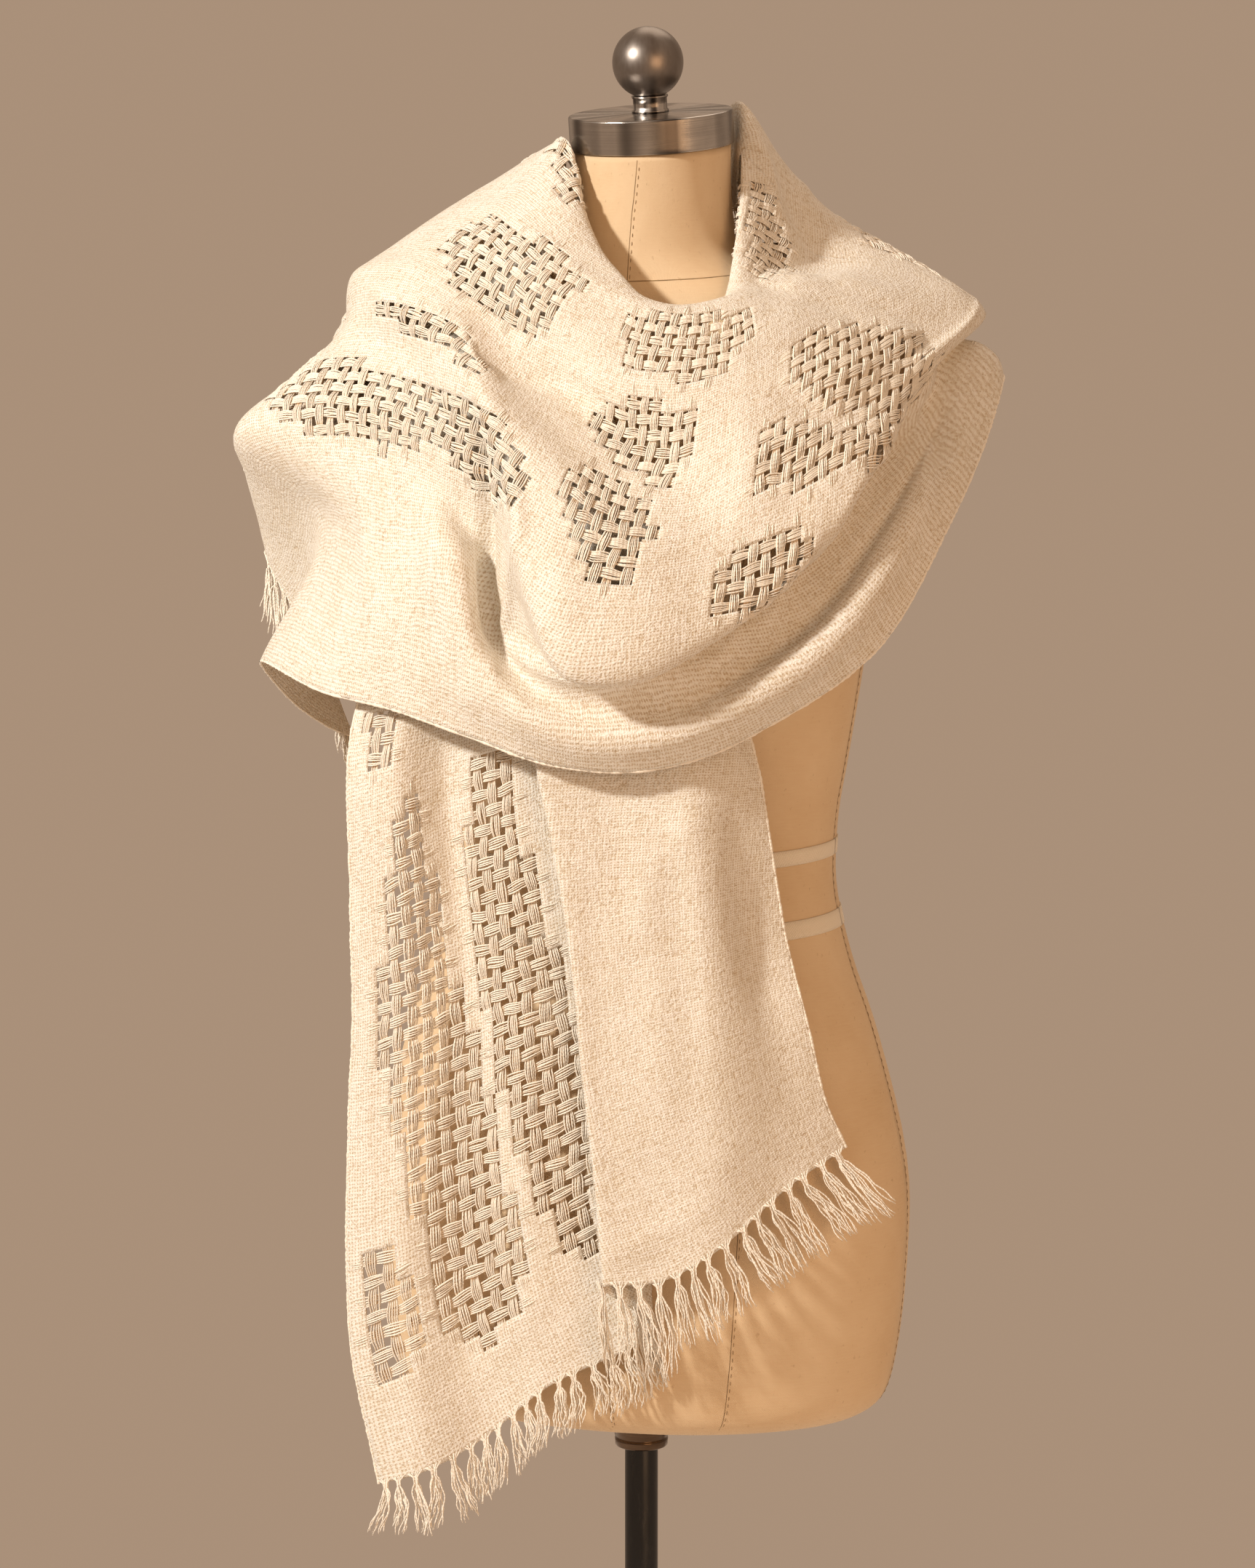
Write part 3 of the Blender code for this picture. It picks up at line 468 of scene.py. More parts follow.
LACE = [locate(area, outline) for area, outlines in LACE_SHOWN.items() for outline in outlines]
for u0, u1, v0, v1 in LACE_HIDDEN:
    side = np.linspace(0, 1, 5)[:-1]
    ring_u = np.concatenate([u0 + (u1 - u0) * side, 0 * side + u1, u1 + (u0 - u1) * side, 0 * side + u0])
    ring_v = np.concatenate([0 * side + v0, v0 + (v1 - v0) * side, 0 * side + v1, v1 + (v0 - v1) * side])
    LACE.append(read(FLAT, ring_u, ring_v))
# The cells of the flat cloth, from two before 0 along it, and which of them are lace
BEFORE = 2
CELLS_S = int(FLAT[..., 0].max() / PITCH) + 4
CELLS_T = int(FLAT[..., 1].max() / PITCH) + 4
cell_s, cell_t = np.meshgrid((np.arange(-BEFORE, CELLS_S) + 0.5) * PITCH, (np.arange(CELLS_T) + 0.5) * PITCH,
                             indexing="ij")
OPEN = np.zeros(cell_s.shape, bool)
for polygon in LACE:
    OPEN |= inside(polygon, cell_s, cell_t)

# Creases that show: where, then points on the pole plane, height out (+) or in (-) and width, in mm
CREASES = {
    "swath": [([(-112, 1262), (-104, 1228), (-101, 1180), (-100, 1130), (-84, 1098)], -7.5, 6.5), ([(-84, 1224),
        (-80, 1180), (-84, 1140), (-90, 1112), (-67, 1095), (-31, 1088), (30, 1088), (50, 1101), (63, 1114),
        (89, 1136), (120, 1178), (141, 1214), (166, 1254)], 6.5, 5.5), ([(-93, 1091), (-67, 1068), (-31, 1058),
        (16, 1061), (47, 1078), (79, 1099), (110, 1123), (141, 1164), (166, 1206), (186, 1244)], -7.0, 4.2),
        ([(-80, 1062), (-26, 1041), (20, 1046), (60, 1062), (106, 1094), (146, 1140), (176, 1192)], 8.0, 11),
        ([(-31, 1036), (16, 1041), (47, 1054), (89, 1074), (135, 1108)], -2.6, 4.5), ([(-104, 1392), (-62, 1366),
        (-30, 1340), (14, 1322), (60, 1326)], 2.6, 8), ([(-126, 1352), (-92, 1326), (-52, 1300),
        (-6, 1284)], -2.4, 10), ([(-122, 1314), (-103, 1299), (-57, 1278), (-26, 1257), (6, 1237),
        (37, 1211)], -4.6, 12), ([(-128, 1300), (-104, 1272), (-84, 1240)], 3.0, 8), ([(-74, 1250), (-52, 1222),
        (-30, 1180)], 2.2, 13), ([(64, 1300), (92, 1296), (122, 1300)], -2.4, 9), ([(120, 1288), (156, 1288),
        (186, 1292)], 3.2, 12), ([(86, 1270), (120, 1256), (152, 1254)], -3.6, 8), ([(84, 1238), (120, 1242),
        (156, 1246)], 3.0, 9), ([(60, 1262), (70, 1226), (76, 1186)], 1.6, 13), ([(18, 1206), (44, 1196),
        (62, 1190)], -2.0, 13), ([(-56, 1180), (-52, 1150), (-46, 1118)], 2.2, 11), ([(-128, 1236), (-130, 1180),
        (-124, 1120)], 2.6, 12), ([(-150, 1226), (-152, 1170), (-142, 1106)], -2.4, 13), ([(-186, 1220), (-178, 1160),
        (-164, 1096)], 2.0, 13), ([(-226, 1268), (-190, 1266), (-150, 1262)], 2.0, 10), ([(-206, 1300), (-176, 1304),
        (-140, 1298)], -2.4, 9), ([(-180, 1352), (-150, 1352), (-126, 1344)], 1.8, 9), ([(-178, 1334), (-150, 1320),
        (-126, 1308)], 2.0, 8), ([(-150, 1096), (-110, 1072), (-60, 1052)], 1.6, 9), ([(120, 1344), (160, 1334),
        (200, 1318)], 2.2, 10), ([(96, 1332), (130, 1326), (164, 1318)], -1.8, 8), ([(217, 1327), (192, 1300),
        (172, 1288)], 4.0, 6), ([(188, 1276), (191, 1247), (196, 1216)], -5.0, 5), ([(196, 1284), (206, 1250),
        (206, 1216)], 2.0, 7)],
    "near_panel": [([(44, 1020), (58, 900), (78, 790)], 2.0, 16), ([(-4, 1016), (8, 880), (22, 760)], 2.2, 14),
        ([(18, 1010), (30, 880), (46, 740)], -2.4, 13), ([(-34, 960), (-26, 840), (-14, 720)], -1.2, 11), ([(64, 960),
        (82, 880), (104, 800)], -1.6, 11), ([(-30, 700), (10, 716), (50, 744)], 1.2, 9), ([(40, 1000), (10, 960),
        (-10, 900)], 1.2, 12)],
    "panel": [([(-180, 1040), (-182, 840), (-180, 640)], 1.8, 8), ([(-168, 1020), (-170, 860), (-166, 700)], -1.6, 7),
        ([(-142, 900), (-128, 760), (-114, 640)], 1.6, 11), ([(-128, 1030), (-116, 900), (-104, 800)], -2.6, 8),
        ([(-96, 960), (-78, 800), (-64, 660)], 1.6, 10), ([(-60, 690), (-90, 640), (-120, 600)], 1.4, 11),
        ([(-150, 640), (-140, 600), (-120, 572)], 1.2, 10)],
    "collar": [([(68, 1442), (80, 1405), (90, 1362)], 6.5, 10), ([(84, 1410), (84, 1380), (82, 1350)], -2.0, 6),
        ([(98, 1404), (98, 1380), (96, 1356)], 1.8, 7)],
}
# Creases on the hidden sides: places u, v of the start and of the end, height, width in mm
CREASES_HIDDEN = [
    (8.6, 2.2, 8.9, 8.6, 2.4, 13), (9.4, 2.6, 9.7, 9.4, -2.2, 14), (10.2, 1.9, 10.1, 7.4, 2.6, 15),
    (10.9, 2.4, 10.7, 9.6, -1.8, 13), (11.5, 2.1, 11.7, 8.2, 2.2, 14), (12.2, 3.2, 12.5, 9.5, -2.2, 12),
    (12.8, 2.6, 13.1, 7.8, 2.2, 13), (13.4, 3.5, 13.5, 9.3, 1.8, 10), (9.0, 5.4, 10.8, 6.6, 1.4, 16),
    (11.2, 7.8, 12.9, 6.9, 1.6, 15), (24.4, 3.2, 24.9, 6.4, 1.8, 11), (25.4, 2.6, 25.9, 7.2, 2.0, 12),
    (26.2, 3.4, 26.6, 6.4, 1.6, 10), (7.0, 3.0, 7.6, 8.4, 1.5, 10),
]
TROUGHS = [(locate(area, points), high, wide) for area, rows in CREASES.items() for points, high, wide in rows]
for u0, v0, u1, v1, high, wide in CREASES_HIDDEN:
    f = np.linspace(0, 1, 4)
    bend = 0.25 * np.sin(f * 3.1 + u0 * 2)
    TROUGHS.append((read(FLAT, u0 + (u1 - u0) * f, v0 + (v1 - v0) * f + bend), high, wide))
SPANS = 27
# Small unevenness of the cloth: length of the waves in metres, height in mm
UNEVEN = ((0.045, 0.55), (0.024, 0.30), (0.013, 0.16))


def swell(s, t):
    """Height of the creases and of the cloth's small unevenness at flat places s, t, in metres."""
    high = np.zeros(s.shape)
    for points, rise, wide in TROUGHS:
        line = curve(points, np.linspace(0, len(points) - 1, SPANS + 1))
        reach = 3 * wide * MM
        near = ((s > line[:, 0].min() - reach) & (s < line[:, 0].max() + reach)
                & (t > line[:, 1].min() - reach) & (t < line[:, 1].max() + reach))
        run = np.diff(line, axis=0)
        away = np.stack([s[near], t[near]], -1)[:, None] - line[:-1]
        part = np.clip((away * run).sum(-1) / ((run * run).sum(-1) + 1e-15), 0, 1)
        off = ((away - part[..., None] * run) ** 2).sum(-1)
        k = off.argmin(axis=1)
        every = np.arange(len(k))
        f = (k + part[every, k]) / SPANS
        size = wide * MM * (0.8 + 0.4 * f)
        ends = np.sin(math.pi * (0.06 + 0.88 * f)) ** 0.8
        high[near] += rise * MM * ends * np.exp(-off[every, k] / size ** 2)
    for wave, tall in UNEVEN:
        high += tall * MM * np.array([noise.noise((x / wave, y / wave, wave * 100)) for x, y in
                                      zip(s.ravel(), t.ravel())]).reshape(s.shape)
    return high


# The fine lattice that the lace yarns are read from, in parts of a cell
FINE_PARTS = 4
FINE = PITCH / FINE_PARTS
low_fine, fine_u, fine_v = lattice(0, LAST, 0, FINE)
fine_st = np.stack(np.meshgrid((low_fine + np.arange(fine_u.shape[0])) * FINE, np.arange(fine_u.shape[1]) * FINE,
                               indexing="ij"), -1)
FINE_SIDE = read(SIDE, fine_u, fine_v)
FINE_PLACE = read(PLACE, fine_u, fine_v) + FINE_SIDE * swell(fine_st[..., 0], fine_st[..., 1])[..., None]


def ground_at(u, v):
    """Creased places, outward directions and flat coordinates of the cloth at places u, v."""
    st, n = read(FLAT, u, v), read(SIDE, u, v)
    return read(PLACE, u, v) + n * swell(st[..., 0], st[..., 1])[..., None], n, st


def on_cloth(s, t):
    """Real places and outward directions of flat places s, t."""
    a = np.clip(s / FINE - low_fine, 0, fine_u.shape[0] - 1.001)
    b = np.clip(t / FINE, 0, fine_u.shape[1] - 1.001)
    return between(FINE_PLACE, a, b), unit(between(FINE_SIDE, a, b))


# ------------------------------------------------------------------ making meshes
def mesh_piece(name, verts, quads, made, flat=None, body="form"):
    """Object from vertices and four-cornered faces, smooth, with the flat coordinates that its weave uses."""
    mesh = bpy.data.meshes.new(name)
    verts, quads = np.asarray(verts, np.float32), np.asarray(quads, np.int32)
    mesh.vertices.add(len(verts))
    mesh.vertices.foreach_set("co", verts.ravel())
    mesh.loops.add(quads.size)
    mesh.loops.foreach_set("vertex_index", quads.ravel())
    mesh.polygons.add(len(quads))
    mesh.polygons.foreach_set("loop_start", np.arange(0, quads.size, 4, dtype=np.int32))
    mesh.polygons.foreach_set("use_smooth", np.ones(len(quads), bool))
    if flat is not None:
        layer = mesh.attributes.new("flat", "FLOAT_VECTOR", "POINT")
        layer.data.foreach_set("vector", np.asarray(flat, np.float32).ravel())
    mesh.update(calc_edges=True)
    mesh.validate()
    obj = bpy.data.objects.new(name, mesh)
    bpy.context.scene.collection.objects.link(obj)
    mesh.materials.append(made)
    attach(obj, body)
    return obj


def faces_round(rows, sides, closed=False):
    """Four-cornered faces between rows of points that go round, back to the first row where closed."""
    i, j = np.meshgrid(np.arange(rows if closed else rows - 1), np.arange(sides), indexing="ij")
    a, b, after = i * sides, (i + 1) % rows * sides, (j + 1) % sides
    return np.stack([a + j, a + after, b + after, b + j], -1).reshape(-1, 4)


class Yarns:
    """Many round yarns in one mesh. Each has a path, directions out of its cloth and a radius per point."""

    def __init__(self, sides=4):
        self.sides, self.verts, self.quads, self.flat, self.count = sides, [], [], [], 0

    def add(self, path, out, radius, tag, dip=0.02):
        """tag picks the yarn's own number, dip tells from 0 to 1 how deep each point lies in the weave, which the lace
        yarn's finish paints as shade.
        """
        path, n, k = np.asarray(path, float), len(path), self.sides
        way = unit(np.gradient(path, axis=0))
        across = unit(np.cross(way, out))
        up = np.cross(across, way)
        angle = (np.arange(k) + 0.5) / k * 2 * math.pi
        ring = across[:, None] * np.cos(angle)[None, :, None] + up[:, None] * np.sin(angle)[None, :, None]
        verts = path[:, None] + ring * np.asarray(radius)[:, None, None]
        flat = np.empty((n, k, 3))
        flat[..., 0], flat[..., 1] = run_along(path)[:, None], angle[None, :] / (2 * math.pi)
        flat[..., 2] = math.floor(tag * 40) + np.reshape(dip, (-1, 1))
        quads = faces_round(n, k)
        if k == 4:
            quads = np.concatenate([quads, [[3, 2, 1, 0], [4 * n - 4, 4 * n - 3, 4 * n - 2, 4 * n - 1]]])
        self.verts.append(verts.reshape(-1, 3))
        self.quads.append(quads + self.count)
        self.flat.append(flat.reshape(-1, 3))
        self.count += n * k

    def make(self, name, made):
        return mesh_piece(name, np.concatenate(self.verts), np.concatenate(self.quads), made,
                          np.concatenate(self.flat))


# ------------------------------------------------------------------ materials
class Nodes:
    """A material's node tree, built with short calls."""

    def __init__(self, name):
        self.made = bpy.data.materials.new(name)
        self.made.use_nodes = True
        self.tree = self.made.node_tree
        self.shader = self.tree.nodes["Principled BSDF"]

    def node(self, kind, *inputs, **settings):
        made = self.tree.nodes.new("ShaderNode" + kind)
        for key, value in settings.items():
            setattr(made, key, value)
        for place, value in enumerate(inputs):
            if value is not None:
                self.put(made.inputs[place], value)
        return made.outputs[0]

    def put(self, socket, value):
        if isinstance(value, bpy.types.NodeSocket):
            self.tree.links.new(value, socket)
        else:
            socket.default_value = value

    def math(self, way, a, b=0.0, c=0.0):
        return self.node("Math", a, b, c, operation=way)

    def times(self, a, b):
        return self.math("MULTIPLY", a, b)

    def plus(self, a, b, c):
        """a times b, plus c."""
        return self.math("MULTIPLY_ADD", a, b, c)

    def stretch(self, place, by):
        return self.node("VectorMath", place, by, operation="MULTIPLY")

    def split(self, place):
        made = self.tree.nodes.new("ShaderNodeSeparateXYZ")
        self.tree.links.new(place, made.inputs[0])
        return list(made.outputs)

    def solid(self):
        return self.tree.nodes.new("ShaderNodeTexCoord").outputs["Object"]

    def noise(self, place, scale, detail=2.0, rough=0.5, out="Fac"):
        made = self.tree.nodes.new("ShaderNodeTexNoise")
        self.tree.links.new(place, made.inputs["Vector"])
        made.inputs["Scale"].default_value = scale
        made.inputs["Detail"].default_value = detail
        made.inputs["Roughness"].default_value = rough
        return made.outputs[out]

    def mix(self, share, a, b):
        made = self.tree.nodes.new("ShaderNodeMix")
        made.data_type = "RGBA"
        self.put(made.inputs[0], share)
        self.put(made.inputs[6], a)
        self.put(made.inputs[7], b)
        return made.outputs[2]

    def tint(self, tone, value, low, high, share, colour):
        """The tone with a colour mixed in, up to the share, as the value goes from low to high."""
        return self.mix(self.times(self.ramp(value, low, high), share), tone, colour)

    def ramp(self, value, low, high):
        made = self.tree.nodes.new("ShaderNodeMapRange")
        self.put(made.inputs[0], value)
        made.inputs[1].default_value, made.inputs[2].default_value = low, high
        return made.outputs[0]

    def bump(self, height, far, strength=1.0, before=None):
        made = self.tree.nodes.new("ShaderNodeBump")
        made.inputs["Strength"].default_value = strength
        made.inputs["Distance"].default_value = far
        self.tree.links.new(height, made.inputs["Height"])
        if before is not None:
            self.tree.links.new(before, made.inputs["Normal"])
        return made.outputs[0]

    def flat(self):
        made = self.tree.nodes.new("ShaderNodeAttribute")
        made.attribute_name = "flat"
        return made.outputs["Vector"]

    def finish(self, colour, rough, bump=None, **fixed):
        self.put(self.shader.inputs["Base Color"], colour)
        self.put(self.shader.inputs["Roughness"], rough)
        if bump is not None:
            self.put(self.shader.inputs["Normal"], bump)
        for key, value in fixed.items():
            self.shader.inputs[key.replace("_", " ")].default_value = value
        return self.made


# Distance from thread to thread of the plain weave, and of the canvas
THREAD, CANVAS_THREAD = 0.00185, 0.00055


def plain_weave():
    """Loose plain weave of slubby cotton and linen yarns, with pinholes between them; painted shade darkens the low
    yarns and the pinholes.
    """
    m = Nodes("linen_plain_weave")
    flat = m.flat()
    shift = m.node("VectorMath", m.noise(flat, 95, out="Color"), (0.5, 0.5, 0.5), operation="SUBTRACT")
    wander = m.node("VectorMath", shift, None, None, 0.0022, operation="SCALE")
    s, t = (m.math("DIVIDE", part, THREAD) for part in m.split(m.node("VectorMath", flat, wander, operation="ADD"))[:2])
    heights = []
    for along, across, side in ((s, t, 1.0), (t, s, -1.0)):
        number = m.math("FLOOR", across)
        round_yarn = m.math("POWER", m.math("ABSOLUTE", m.math("SINE", m.times(across, math.pi))), 0.8)
        wave = m.times(m.math("SINE", m.times(along, math.pi)), m.math("COSINE", m.times(number, math.pi)))
        lift = m.plus(wave, 0.34 * side, 0.62)
        slub = m.noise(m.node("CombineXYZ", m.times(along, 0.075), m.times(number, 7.31), 3.7 * side), 1.0)
        heights.append((m.times(round_yarn, lift), slub, m.times(round_yarn, m.ramp(slub, 0.1, 0.75))))
    top = m.math("MAXIMUM", heights[0][0], heights[1][0])
    fat = m.math("MAXIMUM", heights[0][2], heights[1][2])
    # the pinholes: where the yarns lie low, later painted deep brown as the shade seen through them
    gap = m.math("SUBTRACT", m.plus(m.noise(flat, 26.0, 3.0), 0.26, 0.34), m.plus(top, 0.62, m.times(fat, 0.32)))
    fibres, speck = m.noise(flat, 2600.0), m.noise(m.solid(), 460.0, 2.0, 0.75)
    slubs = m.ramp(m.math("ADD", heights[0][1], heights[1][1]), 0.8, 1.2)
    tone = m.mix(slubs, (0.835, 0.80, 0.715, 1), (0.905, 0.89, 0.85, 1))
    tone = m.mix(m.times(fibres, 0.25), tone, (0.96, 0.92, 0.85, 1))
    tone = m.tint(tone, speck, 0.47, 0.31, 0.66, (0.50, 0.36, 0.20, 1))
    tone = m.tint(tone, speck, 0.54, 0.72, 0.55, (0.98, 0.955, 0.90, 1))
    # painted shade: the yarns turn brown where they sink low between their neighbours
    tone = m.tint(tone, top, 0.75, 0.3, 0.32, (0.66, 0.52, 0.33, 1))
    # painted shade: the pinholes turn deep brown, for the shade seen through them
    tone = m.tint(tone, gap, -0.02, 0.16, 0.5, (0.42, 0.26, 0.11, 1))
    height = m.plus(fibres, 0.10, m.plus(fat, 0.05, m.plus(speck, 3.2, m.times(top, 0.08))))
    return m.finish(tone, m.ramp(top, -0.6, 1.6), m.bump(height, 0.00055, 0.7), Sheen_Weight=0.1, Sheen_Roughness=0.45)


def lace_yarn(name, light):
    """Softly twisted fine yarn, from the place along it, the turn round it and its own number plus its dip, which
    paints warm brown shade where the yarn dives under.
    """
    m = Nodes(name)
    along, turn, own = m.split(m.flat())
    twist = m.math("SINE", m.plus(along, 2600.0, m.times(turn, 6.2832)))
    number = m.times(m.math("FLOOR", own), 0.37)
    slub = m.noise(m.node("CombineXYZ", m.times(along, 90.0), m.times(turn, 0.8), number), 1.0)
    fine = m.noise(m.node("CombineXYZ", m.times(along, 900.0), m.times(turn, 9.0), own), 1.0)
    tone = m.mix(m.ramp(slub, 0.25, 0.8), (0.92, 0.855, 0.745, 1), (0.97, 0.925, 0.845, 1))
    tone = m.tint(tone, twist, -1.0, 1.0, 0.15, (0.76, 0.58, 0.38, 1))
    tone = m.mix(light, tone, (0.97, 0.92, 0.84, 1))
    # painted shade: warm brown where the yarn dips under a crossing bundle
    tone = m.tint(tone, m.math("FRACT", own), 0.5, 0.95, 0.8, (0.90, 0.62, 0.33, 1))
    return m.finish(tone, m.ramp(fine, -1.2, 1.6), m.bump(m.plus(twist, 0.5, m.times(fine, 0.9)), 0.00022, 0.7),
                    Sheen_Weight=0.1, Sheen_Roughness=0.4)


def canvas():
    """Tan cotton canvas of the dress form, a little worn and uneven."""
    m = Nodes("tan_canvas")
    flat = m.flat()
    s, t = (m.times(part, math.pi / CANVAS_THREAD) for part in m.split(flat)[:2])
    grain = m.times(m.math("SINE", s), m.math("SINE", t))
    cloud = m.noise(flat, 9.0, 4.0, 0.6)
    thread = m.noise(m.stretch(flat, (60.0, 900.0, 1.0)), 1.0, 3.0)
    tone = m.mix(m.ramp(cloud, 0.3, 0.7), (0.71, 0.51, 0.305, 1), (0.82, 0.635, 0.425, 1))
    tone = m.tint(tone, thread, 0.35, 0.7, 0.28, (0.83, 0.68, 0.46, 1))
    tone = m.tint(tone, m.noise(flat, 240.0), 0.66, 0.76, 0.35, (0.42, 0.26, 0.12, 1))
    height = m.plus(thread, 0.8, m.times(grain, 0.5))
    return m.finish(tone, m.ramp(thread, -1.5, 1.4), m.bump(height, 0.00018, 0.6, m.bump(cloud, 0.0025, 0.25)),
                    Sheen_Weight=0.05, Sheen_Roughness=0.5)


def tape_cloth(name, light, dark, pitch):
    """Narrow twill tape, or seam thread whose brown line also paints the shade in a seam's groove."""
    m = Nodes(name)
    flat = m.flat()
    along, across, _ = m.split(flat)
    rib = m.math("SINE", m.times(m.math("ADD", along, across), 2 * math.pi / pitch))
    fuzz = m.noise(flat, 900.0)
    return m.finish(m.mix(m.ramp(rib, -1.0, 1.0), dark, light), m.ramp(fuzz, -1.5, 1.3),
                    m.bump(m.plus(rib, 0.5, fuzz), 0.00025, 0.8), Sheen_Weight=0.2)


def metal(name, dark, light, rough, stretch, far=0.00003, dark_reflection_share=0.0, drawn=0.0):
    """Turned metal: fine marks drawn out round the axis, slight stains, and dark bands round it painted as reflections
    of dark surroundings.
    """
    m = Nodes(name)
    flat = m.flat()
    lines = m.noise(m.stretch(flat, stretch), 1.0, 3.0, 0.7)
    stain = m.noise(flat, 22.0, 4.0, 0.6)
    tone = m.mix(m.ramp(m.plus(stain, 0.5, m.times(lines, 0.5)), 0.3, 0.7), dark, light)
    # painted reflection: dark bands that change with the turn round the axis
    broad = m.noise(m.stretch(flat, (1.0, 0.0, 0.0)), 34.0, 1.0)
    tone = m.tint(tone, broad, 0.56, 0.40, dark_reflection_share, (0.05, 0.04, 0.035, 1))
    dull = m.ramp(m.plus(stain, 0.4, m.times(lines, 0.6)), 0.5 - 0.5 / max(rough, 0.05) * 0.28, 0.5 + (1 - rough) * 2.6)
    return m.finish(tone, dull, m.bump(lines, far, 0.5), Metallic=1.0, Anisotropic=drawn)


def paint(name, colour, worn, low, high, speckle, far):
    """Painted or moulded finish with faint orange peel, dust and rubbed marks."""
    m = Nodes(name)
    flat = m.flat()
    peel = m.noise(flat, speckle)
    dust = m.noise(flat, 40.0, 5.0, 0.7)
    tone = m.tint(colour, dust, 0.55, 0.8, 0.5, worn)
    return m.finish(tone, m.plus(dust, high - low, low), m.bump(peel, far, 0.4))


LINEN = plain_weave()
LACE_YARN = lace_yarn("linen_lace_yarn", 0.3)
FRINGE_YARN = lace_yarn("linen_fringe_yarn", 0.45)
CANVAS = canvas()
TAPE = tape_cloth("cream_twill_tape", (0.95, 0.88, 0.76, 1), (0.84, 0.74, 0.58, 1), 0.0016)
# the seam lines are brown partly as real thread and partly as painted shade in the seams' grooves
SEAM_THREAD_AND_SHADE = tape_cloth("brown_seam_thread_and_shade", (0.56, 0.38, 0.19, 1), (0.40, 0.25, 0.11, 1), 0.0012)
# the steel's dark bands are painted reflections on the cap and stem
STEEL = metal("brushed_steel", (0.42, 0.39, 0.37, 1), (0.74, 0.71, 0.68, 1), 0.26, (6.0, 2600.0, 6.0), dark_reflection_share=0.92,
              drawn=0.7)
# painted reflection: the chrome's colour is darkened to stand for the dark surroundings that it reflects
CHROME_DARKENED_REFLECTION = metal("chrome_painted_dark_reflection", (0.20, 0.17, 0.15, 1), (0.33, 0.30, 0.28, 1), 0.1, (40.0, 40.0, 40.0), 0.00001)
BRONZE = metal("dark_bronze", (0.07, 0.045, 0.03, 1), (0.16, 0.11, 0.075, 1), 0.4, (30.0, 900.0, 30.0))
BLACK = paint("gloss_black_paint", (0.010, 0.010, 0.011, 1), (0.05, 0.048, 0.045, 1), 0.12, 0.34, 700.0, 0.00004)
PLASTIC = paint("black_plastic", (0.018, 0.018, 0.019, 1), (0.06, 0.058, 0.055, 1), 0.38, 0.62, 1500.0, 0.00006)


# ------------------------------------------------------------------ the cloth
THICK = 0.0011
# Squares whose area is below half of this are left out, in square metres
SLIVER = 5e-9


def ground(name, u0, u1, v0, parts):
    """Plain ground of one stretch of the cloth, as a closed thin shell, left open where the lace goes."""
    low, u, v = lattice(u0, u1, v0, PITCH / parts)
    p, n, st = ground_at(u, v)
    rows, cols = u.shape
    at = np.arange(rows * cols).reshape(rows, cols)
    quads = np.stack([at[:-1, :-1], at[1:, :-1], at[1:, 1:], at[:-1, 1:]], -1).reshape(-1, 4)
    a, b, c, d = (p.reshape(-1, 3)[quads[:, k]] for k in range(4))
    area = np.linalg.norm(np.cross(c - a, d - b), axis=-1)
    i, j = np.meshgrid(np.arange(rows - 1), np.arange(cols - 1), indexing="ij")
    cell_i = np.clip((i + low) // parts + BEFORE, 0, OPEN.shape[0] - 1)
    lace_here = OPEN[cell_i, np.clip(j // parts, 0, OPEN.shape[1] - 1)].ravel()
    keep = (area > SLIVER) & ~lace_here
    quads = quads[keep]
    used, quads = np.unique(quads, return_inverse=True)
    quads = quads.reshape(-1, 4)
    p, n, st = p.reshape(-1, 3)[used], n.reshape(-1, 3)[used], st.reshape(-1, 2)[used]
    facing = np.einsum("ij,ij->i", np.cross(p[quads[:, 2]] - p[quads[:, 0]], p[quads[:, 3]] - p[quads[:, 1]]),
                       n[quads[:, 0]])
    if facing.mean() < 0:
        quads = quads[:, ::-1]
    count = len(p)
    edges = np.concatenate([quads[:, [k, (k + 1) % 4]] for k in range(4)])
    key = np.sort(edges, axis=1)
    _, first, times = np.unique(key[:, 0].astype(np.int64) * count + key[:, 1], return_index=True, return_counts=True)
    rim = edges[first[times == 1]]
    walls = np.stack([rim[:, 1], rim[:, 0], rim[:, 0] + count, rim[:, 1] + count], -1)
    verts = np.concatenate([p + n * THICK / 2, p - n * THICK / 2])
    faces = np.concatenate([quads, quads[:, ::-1] + count, walls])
    flat = np.concatenate([np.column_stack([st, np.zeros(count)]), np.column_stack([st, np.ones(count)])])
    piece = mesh_piece(name, verts, faces, LINEN, flat)
    part = PLACE[(DU >= u0) & (DU <= u1)][:, DV >= v0]
    width, length = (float(np.linalg.norm(np.diff(part, axis=k), axis=-1).sum(axis=k).mean()) for k in (1, 0))
    return piece, width, length, width * length * float(keep.sum() / (area > SLIVER).sum())


# Place along the cloth of every cell that is lace
cell_u = np.zeros(OPEN.shape)
for a, b in np.argwhere(OPEN):
    i = int(np.clip(((a - BEFORE) + 0.5) * FINE_PARTS - low_fine, 0, fine_u.shape[0] - 1))
    cell_u[a, b] = fine_u[i, min(b * FINE_PARTS + FINE_PARTS // 2, fine_u.shape[1] - 1)]
# Distance from yarn to yarn in a bundle, as a share of the pitch, by how many yarns it has
SPREAD = {4: 0.155, 5: 0.126, 6: 0.104}
# How far a bundle's yarns run on past its block at most, in cells
REACH = 1.15


